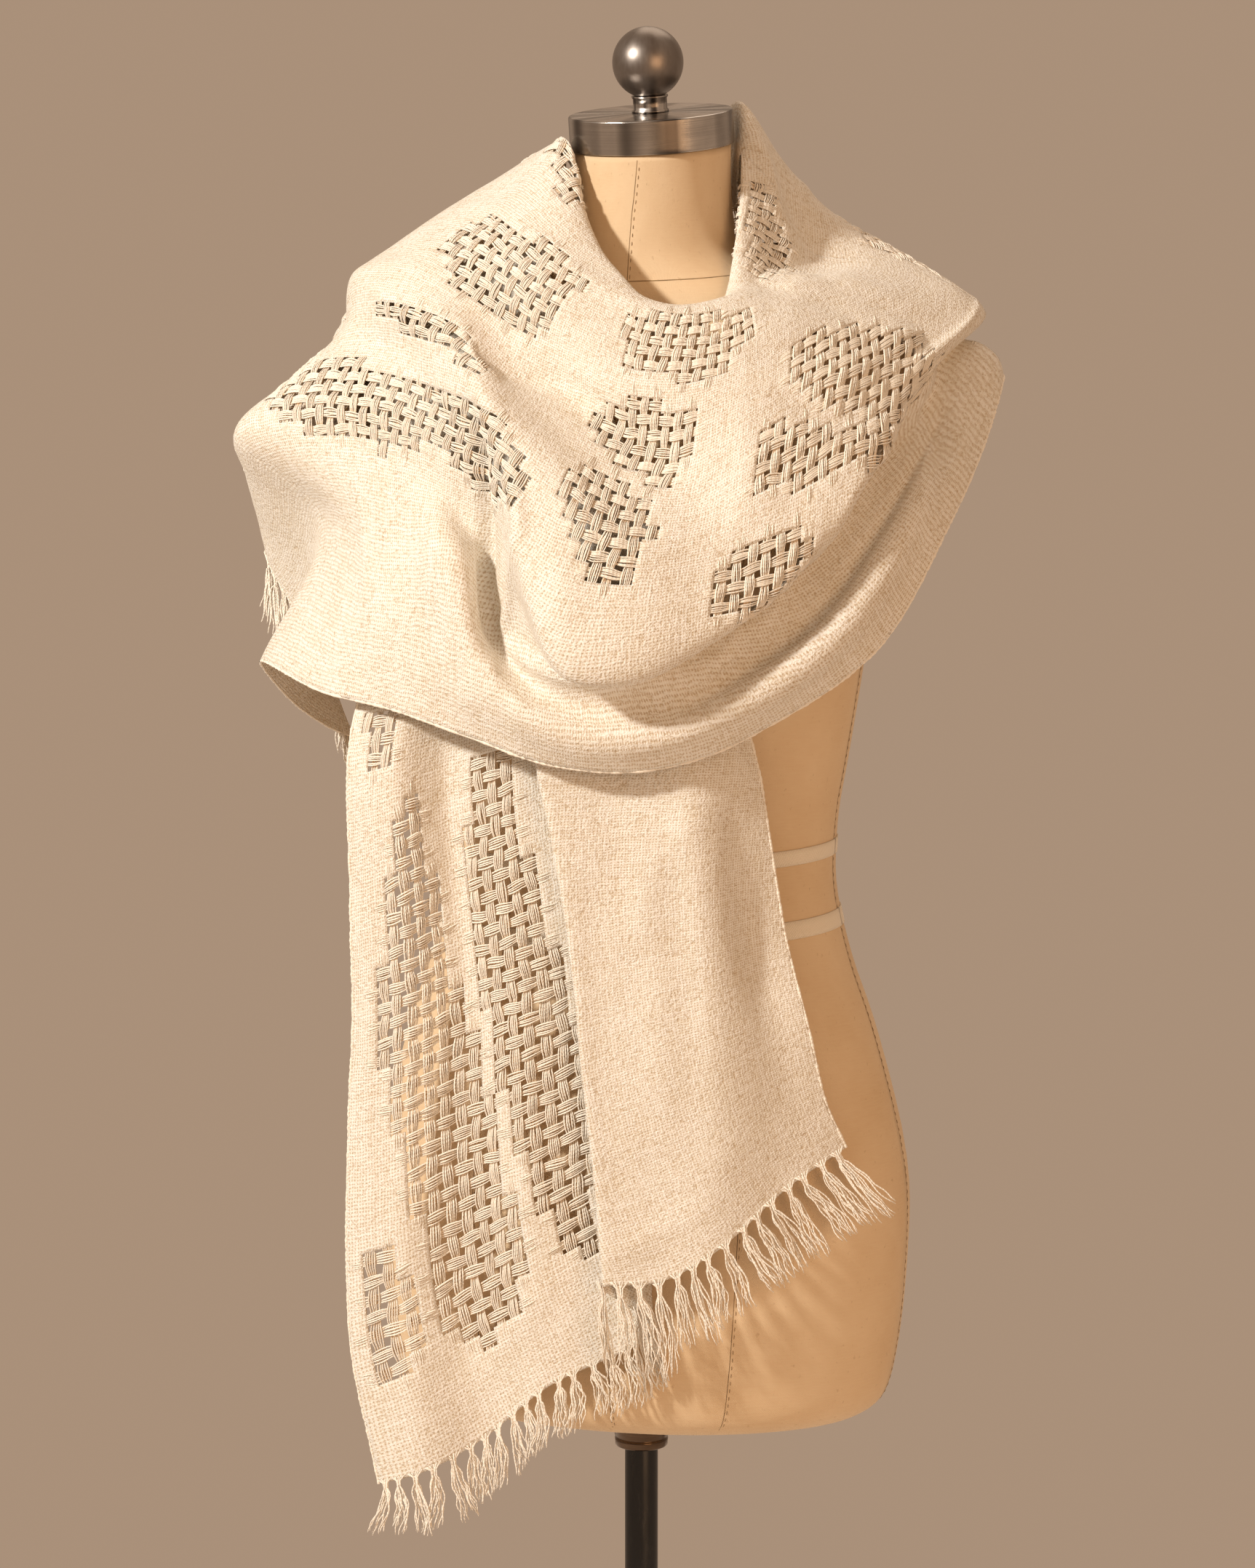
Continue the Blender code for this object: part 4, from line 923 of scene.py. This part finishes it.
def lace(name, u0, u1, direction):
    """Basket weave bundles in one direction through all the lace blocks of a stretch."""
    yarns, seen = Yarns(3), name.startswith("front")
    grid = OPEN & (cell_u >= u0) & (cell_u < u1)
    lines = grid.T if direction == "along" else grid
    for number, line in enumerate(lines):
        cuts = np.flatnonzero(np.diff(np.concatenate([[0], line.astype(int), [0]])))
        for start, stop in zip(cuts[::2], cuts[1::2]):
            # own is the bundle's own row; start .. stop the crossings it passes
            own, other = (number, -BEFORE) if direction == "along" else (number - BEFORE, 0)
            points = max(7, int((stop - start + 2 * REACH) * 3.7))
            x = np.linspace(start - REACH, stop + REACH, points) + other
            crossing = np.arange(start - 2, stop + 3) + other
            drift = np.interp(x, crossing, rng.normal(0, 0.055, len(crossing)))
            wave = np.cos(math.pi * (x - 0.5)) * (1 if own % 2 == 0 else -1)
            if direction == "across":
                wave = -wave
            count = (5 if rng.random() < 0.6 else 6) if seen else 4
            spread = SPREAD[count] * (1 + 0.16 * wave)
            for k in range(count):
                tail = rng.uniform(0.35, REACH, 2)
                end = np.minimum((x - other - start + tail[0]) / tail[0], (stop + tail[1] - x + other) / tail[1])
                end = np.clip(end, -0.2, 1)
                side = (k - (count - 1) / 2) * spread * (0.8 + 0.2 * np.clip(end, 0, 1))
                side = side + drift + np.interp(x, crossing, rng.normal(0, 0.022, len(crossing)))
                across = (own + 0.5 + side) * PITCH
                along = x * PITCH
                s, t = (along, across) if direction == "along" else (across, along)
                place, out = on_cloth(s, t)
                bulge = 0.25 * (1 - (2 * k / (count - 1) - 1) ** 2)
                keen = np.clip(end, 0, 1) ** 0.6
                lift = ((0.78 * wave + bulge * np.sign(wave) + rng.normal(0, 0.12)) * keen
                        + (1 - keen) * 0.15 + np.minimum(end, 0) * 5) * MM
                radius = (0.60 + rng.normal(0, 0.06)) * MM * (0.7 + 0.3 * keen) * (1 + 0.10 * np.sin(x * 5.3 + k))
                # the last value is the dip, painted as warm shade where the bundle passes under
                yarns.add(place + out * lift[:, None], out, radius * (1.05 if seen else 1.25), rng.random(),
                          np.clip(0.45 - 0.5 * wave * keen, 0.02, 0.98))
    piece = yarns.make(name, LACE_YARN)
    return piece


def cord_edge(name, us, vs, wide=0.95):
    """Corded selvedge along an edge of the cloth."""
    yarns = Yarns(6)
    p, n, _ = ground_at(us, vs)
    run = run_along(p)
    at = np.linspace(0, run[-1], int(run[-1] / 0.0022))
    path, out = read_along(at, run, p), read_along(at, run, n)
    uneven = np.array([noise.noise((x * 160, 3.1, 7.7)) for x in at])
    path = path + out * (0.35 * MM * uneven)[:, None]
    yarns.add(path, out, wide * MM * (1 + 0.22 * np.sin(at * 1450) + 0.35 * uneven), 0.4)
    piece = yarns.make(name, LACE_YARN)
    return piece


def tassels(name, place, sign, v_from, v_to, hang, gap=0.0128, count=12):
    """Knotted tassels of fine yarns along a fringed end. hang: place across, down, right, back, in mm."""
    yarns = Yarns()
    v = np.linspace(v_from, v_to, 400)
    u = np.full(400, float(place))
    p, n, _ = ground_at(u, v)
    way = unit(p - read(PLACE, u + sign * 0.12, v), 0)
    run = run_along(p)
    table = np.array(hang, float)
    at = gap * 0.5
    while at < run[-1]:
        here, normal, away = (read_along(at, run, q) for q in (p, n, way))
        down, right, back = read_along(np.interp(at, run, v), table[:, 0], table[:, 1:])
        down *= rng.uniform(0.86, 1.14)
        right += rng.normal(0, 3.5)
        edge = np.interp(at + 0.002, run, np.arange(400)).astype(int)
        side = p[min(edge + 2, 399)] - p[max(edge - 2, 0)]
        side /= np.linalg.norm(side) + 1e-9
        curl = rng.uniform(-1, 1)
        for k in range(count):
            steps = 16
            f = np.linspace(0, 1, steps)
            size = rng.uniform(0.84, 1.1)
            spread = 2 * k / (count - 1) - 1
            neck = np.exp(-((f - 0.10) / 0.09) ** 2)
            across = spread * (3.6 * np.exp(-(f / 0.05) ** 2) + (2.7 + 3.9 * f) * (1 - neck * 0.70))
            phase, kink = rng.uniform(0, 6.28), rng.uniform(0.5, 1.3)
            wig = kink * np.sin(f * rng.uniform(11, 22) + phase) * f ** 0.5 + 2.2 * curl * np.sin(f * 5.2 + curl * 2)
            deep = (1.2 * np.sin(phase * 3 + f * 7) + rng.normal(0, 1.1)) * f ** 0.6 + 0.5 * np.cos(k * 2.4)
            lead = np.minimum(f, 0.12) * down * 0.9
            fall = np.maximum(f - 0.04, 0) * down * size
            path = (here + away * (lead[:, None] - 2.4) * MM + side * (across + wig)[:, None] * MM
                    + normal * deep[:, None] * MM)
            path[:, 2] -= fall * MM * 0.96
            path[:, 0] += right * f ** 1.35 * MM
            path[:, 1] += back * f * MM
            path = outside(path, 0.0022)
            radius = (0.56 + rng.normal(0, 0.05)) * MM * (1 - 0.35 * f ** 4)
            yarns.add(path, np.array([0.0, -1.0, 0.0]) + 0 * path, radius, rng.random())
        at += gap * rng.uniform(0.88, 1.12)
    piece = yarns.make(name, FRINGE_YARN)
    return piece


# Stretches of the cloth: name, places along it from, to, place across it from, squares to a cell
STRETCHES = (("front_end", 0, WRAP_FROM, 0, 4), ("back_wrap", WRAP_FROM, SWATH_FROM, 0, 3),
             ("front_swath", SWATH_FROM, SHOULDER_FROM, 1.0, 4), ("shoulder_end", SHOULDER_FROM, LAST, 1.0, 4))
grounds = {name: ground(name + "_cloth", u0, u1, v0, parts) for name, u0, u1, v0, parts in STRETCHES}
extras = {name: [lace(f"{name}_lace_{way}", u0, u1, way) for way in ("along", "across")]
          for name, u0, u1, _, _ in STRETCHES}
for name, u0, u1, v0, _ in STRETCHES:
    us = np.linspace(u0, u1, 400)
    extras[name].append(cord_edge(name + "_hem_cord", us, us * 0 + HEM))
    if v0 == 0:
        extras[name].append(cord_edge(name + "_neck_cord", us, us * 0))
# How the fringe hangs: place across the cloth, then down, to the right and back, in millimetres
FRONT_HANG = [(0, 36, 34, -4), (0.6, 39, 28, -4), (1.2, 41, 19, -2), (2, 44, 13, -2), (3, 51, 7, -1), (4, 62, 2, 0),
              (5, 39, 2, 0), (6, 36, 4, 0), (7, 38, 2, 0), (8, 37, 6, 0), (9, 39, 2, 0), (10, 39, -10, 0)]
fringe_near = tassels("front_fringe_near", 0, 1, 0.02, 4.3, FRONT_HANG)
fringe_far = tassels("front_fringe_far", 0, 1, 5.0, 9.97, FRONT_HANG)
BACK_HANG = [(0, 42, 0, 1), (5, 42, 0, 2), (8, 40, 4, 0), (10, 38, 0, 0)]
fringe_back = tassels("second_end_fringe", LAST, -1, 1.0, 9.97, BACK_HANG, 0.0105, 9)
extras["front_end"] += [fringe_near, fringe_far]
extras["shoulder_end"].append(fringe_back)
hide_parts("fringe_front_upper")
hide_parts("fringe_front_lower")
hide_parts("fringe_back")
for name, (piece, width, length, area) in grounds.items():
    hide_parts(name)


# ------------------------------------------------------------------ the dress form
def form_points(angle, z, out=0.0):
    """Points of the form's skin at turns round it and heights, both arrays."""
    half, front, behind, lean = section(z)
    x = (half + out) * np.cos(angle)
    y = (np.where(np.sin(angle) > 0, behind, front) + out) * np.sin(angle)
    px, py = x * math.cos(TURN) - y * math.sin(TURN), x * math.sin(TURN) + y * math.cos(TURN)
    rise = np.maximum(0, (z - 1.385) / (NECK[1] - 1.385)) * (py * math.tan(FORWARD) + px * math.tan(SIDEWAYS))
    return np.stack([px + lean * ASIDE, py - lean, z + rise], -1)


def loops(name, rings, made, body, flat=None, closed=True):
    """Skin through rings of points (rows, sides, 3), its two ends drawn to their middles."""
    rows, sides = rings.shape[:2]
    if closed:
        for end, near in ((0, 0), (-1, -1)):
            middle = rings[near].mean(axis=0)
            inner = middle + (rings[near] - middle) * 0.02
            rings = np.concatenate([[inner], rings] if end == 0 else [rings, [inner]])
            if flat is not None:
                flat = np.concatenate([[flat[near]], flat] if end == 0 else [flat, [flat[near]]])
        rows += 2
    quads = faces_round(rows, sides)
    if flat is None:
        run = np.concatenate([[0], np.cumsum(np.linalg.norm(np.diff(rings, axis=0), axis=-1).mean(1))])
        flat = np.empty(rings.shape)
        flat[..., 0] = np.arange(sides)[None, :] / sides * 0.3
        flat[..., 1], flat[..., 2] = run[:, None], 0
    if closed:
        half = sides // 2
        for start, turn in ((0, -1), ((rows - 1) * sides, 1)):
            row = [start + k for k in range(sides)][::turn]
            caps = [(row[k], row[k + 1], row[sides - 2 - k], row[sides - 1 - k]) for k in range(half - 1)]
            quads = np.concatenate([quads, caps])
    return mesh_piece(name, rings.reshape(-1, 3), quads, made, flat.reshape(-1, 3), body)


angles = np.arange(128) / 128 * 2 * math.pi
levels = curve(FORM, np.linspace(0, len(FORM) - 1, 110))[:, 0]
skin = form_points(angles[None, :], levels[:, None])
size = np.stack([np.broadcast_to(angles[None, :] * 0.15, skin.shape[:2]),
                 np.broadcast_to(levels[:, None], skin.shape[:2]), np.zeros(skin.shape[:2])], -1)
cover = loops("dress_form_cover", skin, CANVAS, "form", size)
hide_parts("dress_form")

# Seams of the cover: turn round it and height, from top to bottom, in degrees and metres
SEAMS = [
    ("front_neck_seam", [(-86, 1.425), (-86, 1.40), (-87, 1.37), (-88, 1.342)]),
    ("front_seam", [(-88, 1.342), (-88, 1.2), (-88, 1.0), (-88, 0.8), (-88, 0.612)]),
    ("side_seam_right", [(1, 1.27), (0, 1.15), (-2, 1.0), (-2, 0.9), (0, 0.78), (1, 0.70), (1, 0.612)]),
    ("side_seam_left", [(180, 1.27), (180, 1.1), (181, 0.95), (180, 0.78), (180, 0.612)]),
    ("princess_seam_right", [(-48, 1.28), (-55, 1.14), (-58, 0.96), (-60, 0.80), (-61, 0.70), (-62, 0.612)]),
    ("princess_seam_left", [(-132, 1.28), (-125, 1.14), (-122, 0.96), (-120, 0.80), (-119, 0.612)]),
    ("back_seam", [(90, 1.425), (90, 1.3), (90, 1.1), (90, 0.95), (90, 0.8), (90, 0.612)]),
    ("back_panel_seam_right", [(48, 1.28), (54, 1.1), (57, 0.95), (58, 0.8), (58, 0.612)]),
    ("back_panel_seam_left", [(132, 1.28), (126, 1.1), (123, 0.95), (122, 0.8), (122, 0.612)]),
]
SEAM_SINK, INSIDE = -0.00018, -0.01  # metres out from the skin, so both lie under it
STITCH, STITCH_GAP = 0.0030, 0.0052
seams = Yarns(4)
for name, points in SEAMS:
    places = curve(np.array([(math.radians(a), z) for a, z in points]), np.linspace(0, len(points) - 1, 160))
    path = form_points(places[:, 0], places[:, 1], SEAM_SINK)
    out = path - form_points(places[:, 0], places[:, 1], INSIDE)
    # brown line along the seam, painted shade of the seam's groove; the stitches below are thread
    seams.add(path, out, np.full(len(path), 0.00032), rng.random())
    run = run_along(path)
    for at in np.arange(0.004, run[-1] - 0.004, STITCH_GAP):
        a, z = read_along([at, at + STITCH], run, places).T
        a, z = np.linspace(a[0], a[1], 5), np.linspace(z[0], z[1], 5)
        half = np.interp(z, FORM_FINE[:, 0], FORM_FINE[:, 1])
        shift = 0.0016 / half
        stitch = form_points(a + shift, z, 0.0)
        normal = unit(stitch - form_points(a + shift, z, INSIDE), 0)
        stitch += normal * (np.array([-0.3, 0.12, 0.2, 0.12, -0.3]) * MM)[:, None]
        seams.add(stitch, normal, np.full(5, 0.00019), rng.random())
# the seam round the neck's base: a brown line, painted shade of its groove
ring_turns = np.linspace(0, 2 * math.pi, 220)
base_z = 1.3505 - 0.0085 * np.cos(ring_turns + math.radians(98))
path = form_points(ring_turns, base_z, SEAM_SINK)
seams.add(path, path - form_points(ring_turns, base_z, INSIDE), np.full(220, 0.00045), 0.5)
seam_lines = seams.make("cover_seams", SEAM_THREAD_AND_SHADE)


def tape(name, z, slope, wide, thick=0.0009):
    """Twill tape pinned round the form."""
    a = np.linspace(0, 2 * math.pi, 200, endpoint=False)
    mid = z + slope * np.cos(a + TURN) + 0.0016 * np.sin(2 * a)
    cross = [(-0.5, 0.0001), (-0.47, thick), (-0.16, thick * 1.1), (0.16, thick * 1.1), (0.47, thick), (0.5, 0.0001)]
    rings = np.stack([form_points(a, mid + share * wide, high) for share, high in cross])
    rings = np.concatenate([rings, np.stack([form_points(a, mid + share * wide, 0.00005) for share in (0.3, -0.3)])])
    flat = np.stack([np.stack([a * 0.13, 0 * a + k * 0.002, 0 * a], -1) for k in range(len(rings))])
    quads = faces_round(*rings.shape[:2], closed=True)
    piece = mesh_piece(name, rings.reshape(-1, 3), quads, TAPE, flat.reshape(-1, 3))
    return piece


tape("waist_tape", 0.975, 0.006, 0.0105)
tape("hip_tape", 0.9285, 0.007, 0.0115)


def spun(profile, a):
    """Rings round the z axis at the turns a, from (radius, height) pairs."""
    return np.stack([profile[:, 0:1] * np.cos(a), profile[:, 0:1] * np.sin(a), profile[:, 1:2] + 0 * a], -1)


def turned(name, profile, made, body, sides=96, lean=None, node=None):
    """Round part from (radius, height) pairs."""
    profile = np.array(profile, float)
    a = np.arange(sides) / sides * 2 * math.pi
    rings = spun(profile, a)
    flat = np.empty(rings.shape)
    run = np.concatenate([[0], np.cumsum(np.hypot(*np.diff(profile, axis=0).T))])
    flat[..., 0], flat[..., 1] = np.minimum(a, 2 * math.pi - a)[None, :] * 0.05, run[:, None]
    flat[..., 2] = 0
    if lean is not None:
        rings = lean(rings.reshape(-1, 3)).reshape(rings.shape)
    piece = loops(name, rings, made, body, flat)
    if node:
        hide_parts(node)
    return piece


def tilt(verts):
    """Leans a part that stands on the neck's top, round the middle of that top."""
    lean = 0.021
    mid = np.array([lean * ASIDE, -lean, NECK[1]])
    a, b = FORWARD, SIDEWAYS
    p = verts - np.array([0, 0, NECK[1]])
    y = p[:, 1] * math.cos(a) - p[:, 2] * math.sin(a)
    z = p[:, 1] * math.sin(a) + p[:, 2] * math.cos(a)
    x = p[:, 0] * math.cos(b) - z * math.sin(b)
    return np.stack([x, y, p[:, 0] * math.sin(b) + z * math.cos(b)], -1) + mid


Z = NECK[1] + 0.0002
bevel = np.linspace(0, math.pi / 2, 7)
cap = [(0.0514, Z + 0.0003)] + [(0.0517 + 0.0008 * math.sin(b), Z + 0.0011 - 0.0008 * math.cos(b)) for b in bevel]
cap += [(0.0525, Z + 0.0040), (0.0525, Z + 0.0180)]
cap += [(0.0513 + 0.0012 * math.cos(b), Z + 0.0206 + 0.0012 * math.sin(b)) for b in bevel]
cap += [(0.0490, Z + 0.0219), (0.0300, Z + 0.0220), (0.0140, Z + 0.0220)]
turned("cap_plate", cap, STEEL, "form", 128, tilt, "neck_cap")
stem = [(0.0118, Z + 0.0222), (0.0118, Z + 0.0232), (0.0109, Z + 0.0240), (0.0109, Z + 0.0306), (0.0117, Z + 0.0314),
        (0.0117, Z + 0.0325)]
turned("ball_stem", stem, STEEL, "form", 64, tilt, "knob_stem")
ball = [(0.0095, Z + 0.0327), (0.0099, Z + 0.0331)]
ball += [(0.0226 * math.cos(math.radians(a)), Z + 0.0530 + 0.0226 * math.sin(math.radians(a)))
         for a in np.linspace(-63, 89, 48)]
turned("knob_sphere", ball, CHROME_DARKENED_REFLECTION, "form", 96, tilt, "knob_ball")
socket = [(0.0113, 0.5747), (0.0160, 0.5746), (0.0168, 0.5750), (0.0174, 0.5758), (0.0177, 0.5790), (0.0178, 0.5800),
          (0.0172, 0.5806), (0.0172, 0.5816), (0.0179, 0.5822), (0.0188, 0.6030), (0.0190, 0.6040), (0.0190, 0.6047)]
sides_a = np.arange(96) / 96 * 2 * math.pi
inner = [(0.0111, 0.6047), (0.0111, 0.5747)]
profile = np.array(socket + inner)
rings = spun(profile, sides_a)
flat = np.zeros(rings.shape)
flat[..., 0], flat[..., 1] = sides_a[None, :] * 0.02, profile[:, 1:2]
collar = mesh_piece("socket_sleeve", rings.reshape(-1, 3), faces_round(*rings.shape[:2], closed=True), BRONZE,
                    flat.reshape(-1, 3))
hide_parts("pole_socket")
pole = [(0.0104, 0.0147), (0.0109, 0.0150), (0.0110, 0.0156), (0.0110, 0.3), (0.0110, 0.6032), (0.0108, 0.6040)]
turned("stand_pole", pole, BLACK, "stand", 64, None, "pole")
plate = [(0.1647, 0.0001), (0.1658, 0.0005), (0.1665, 0.0015), (0.1665, 0.0072), (0.1660, 0.0084), (0.1648, 0.0094),
         (0.1630, 0.0101), (0.1200, 0.0110), (0.0700, 0.0120), (0.0320, 0.0130), (0.0260, 0.0136), (0.0215, 0.0144),
         (0.0120, 0.0146)]
turned("stand_base", plate, BLACK, "stand", 128, None, "base_plate")

SCREW_TURN, SCREW_Z = math.radians(12), 0.5895
screw = [(0.0028, 0.0192), (0.0028, 0.0205), (0.0066, 0.0208), (0.0077, 0.0212), (0.0080, 0.0220), (0.0080, 0.0272),
         (0.0076, 0.0281), (0.0068, 0.0285), (0.0030, 0.0285)]
profile = np.array(screw)
a = np.arange(96) / 96 * 2 * math.pi
knurl = 1 - 0.05 * (0.5 + 0.5 * np.cos(a * 24))[None, :] * ((profile[:, 1:2] > 0.0215) & (profile[:, 1:2] < 0.0276))
r = profile[:, 0:1] * knurl
along = profile[:, 1:2] + 0 * a
c, s = math.cos(SCREW_TURN), math.sin(SCREW_TURN)
rings = np.stack([along * c - r * np.cos(a) * s, along * s + r * np.cos(a) * c, SCREW_Z + r * np.sin(a)], -1)
knob = loops("screw_knob", rings, PLASTIC, "screw")
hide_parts("clamp_screw")

# ------------------------------------------------------------------ floor and light
FLOOR_RADIUS, FLOOR_SIDES, FLOOR_TONE = 1.45, 128, (0.80, 0.745, 0.70)
rim = [(FLOOR_RADIUS * math.cos(a), FLOOR_RADIUS * math.sin(a), 0.0)
       for a in np.linspace(0, 2 * math.pi, FLOOR_SIDES + 1)[:-1]]
mesh = bpy.data.meshes.new("pale_floor")
mesh.from_pydata(rim, [], [tuple(range(FLOOR_SIDES))])
mesh.update()
floor = bpy.data.objects.new("pale_floor", mesh)
bpy.context.scene.collection.objects.link(floor)
for face in mesh.polygons:
    face.use_smooth = True
m = Nodes("pale_floor_finish")
m.finish(m.mix(m.noise(m.solid(), 1.3, 3.0), (*[0.97 * c for c in FLOOR_TONE], 1), (*FLOOR_TONE, 1)), 0.85)
mesh.materials.append(m.made)


def lamp(name, place, aim, power, size, colour):
    """Square area lamp. Places and size in metres, power in watts."""
    light = bpy.data.lights.new(name, "AREA")
    light.shape, light.size, light.energy, light.color = "SQUARE", size, power, colour
    obj = bpy.data.objects.new(name, light)
    obj.location = place
    obj.rotation_euler = (Vector(aim) - Vector(place)).to_track_quat("-Z", "Y").to_euler()
    bpy.context.scene.collection.objects.link(obj)


lamp("key_light", (-2.25, -1.75, 2.65), (0, 0, 1.05), 104, 0.26, (1.0, 0.925, 0.82))
lamp("fill_light", (1.6, -3.0, 1.3), (0, 0, 1.0), 27, 1.8, (1.0, 0.60, 0.32))
lamp("top_light", (0.3, 1.0, 3.2), (0, 0, 1.0), 11, 1.6, (1.0, 0.84, 0.68))
world = bpy.data.worlds.new("studio")
world.use_nodes = True
world.node_tree.nodes["Background"].inputs[0].default_value = (1.0, 0.70, 0.485, 1)
world.node_tree.nodes["Background"].inputs[1].default_value = 0.40
bpy.context.scene.view_settings.view_transform = "Standard"
bpy.context.scene.world = world
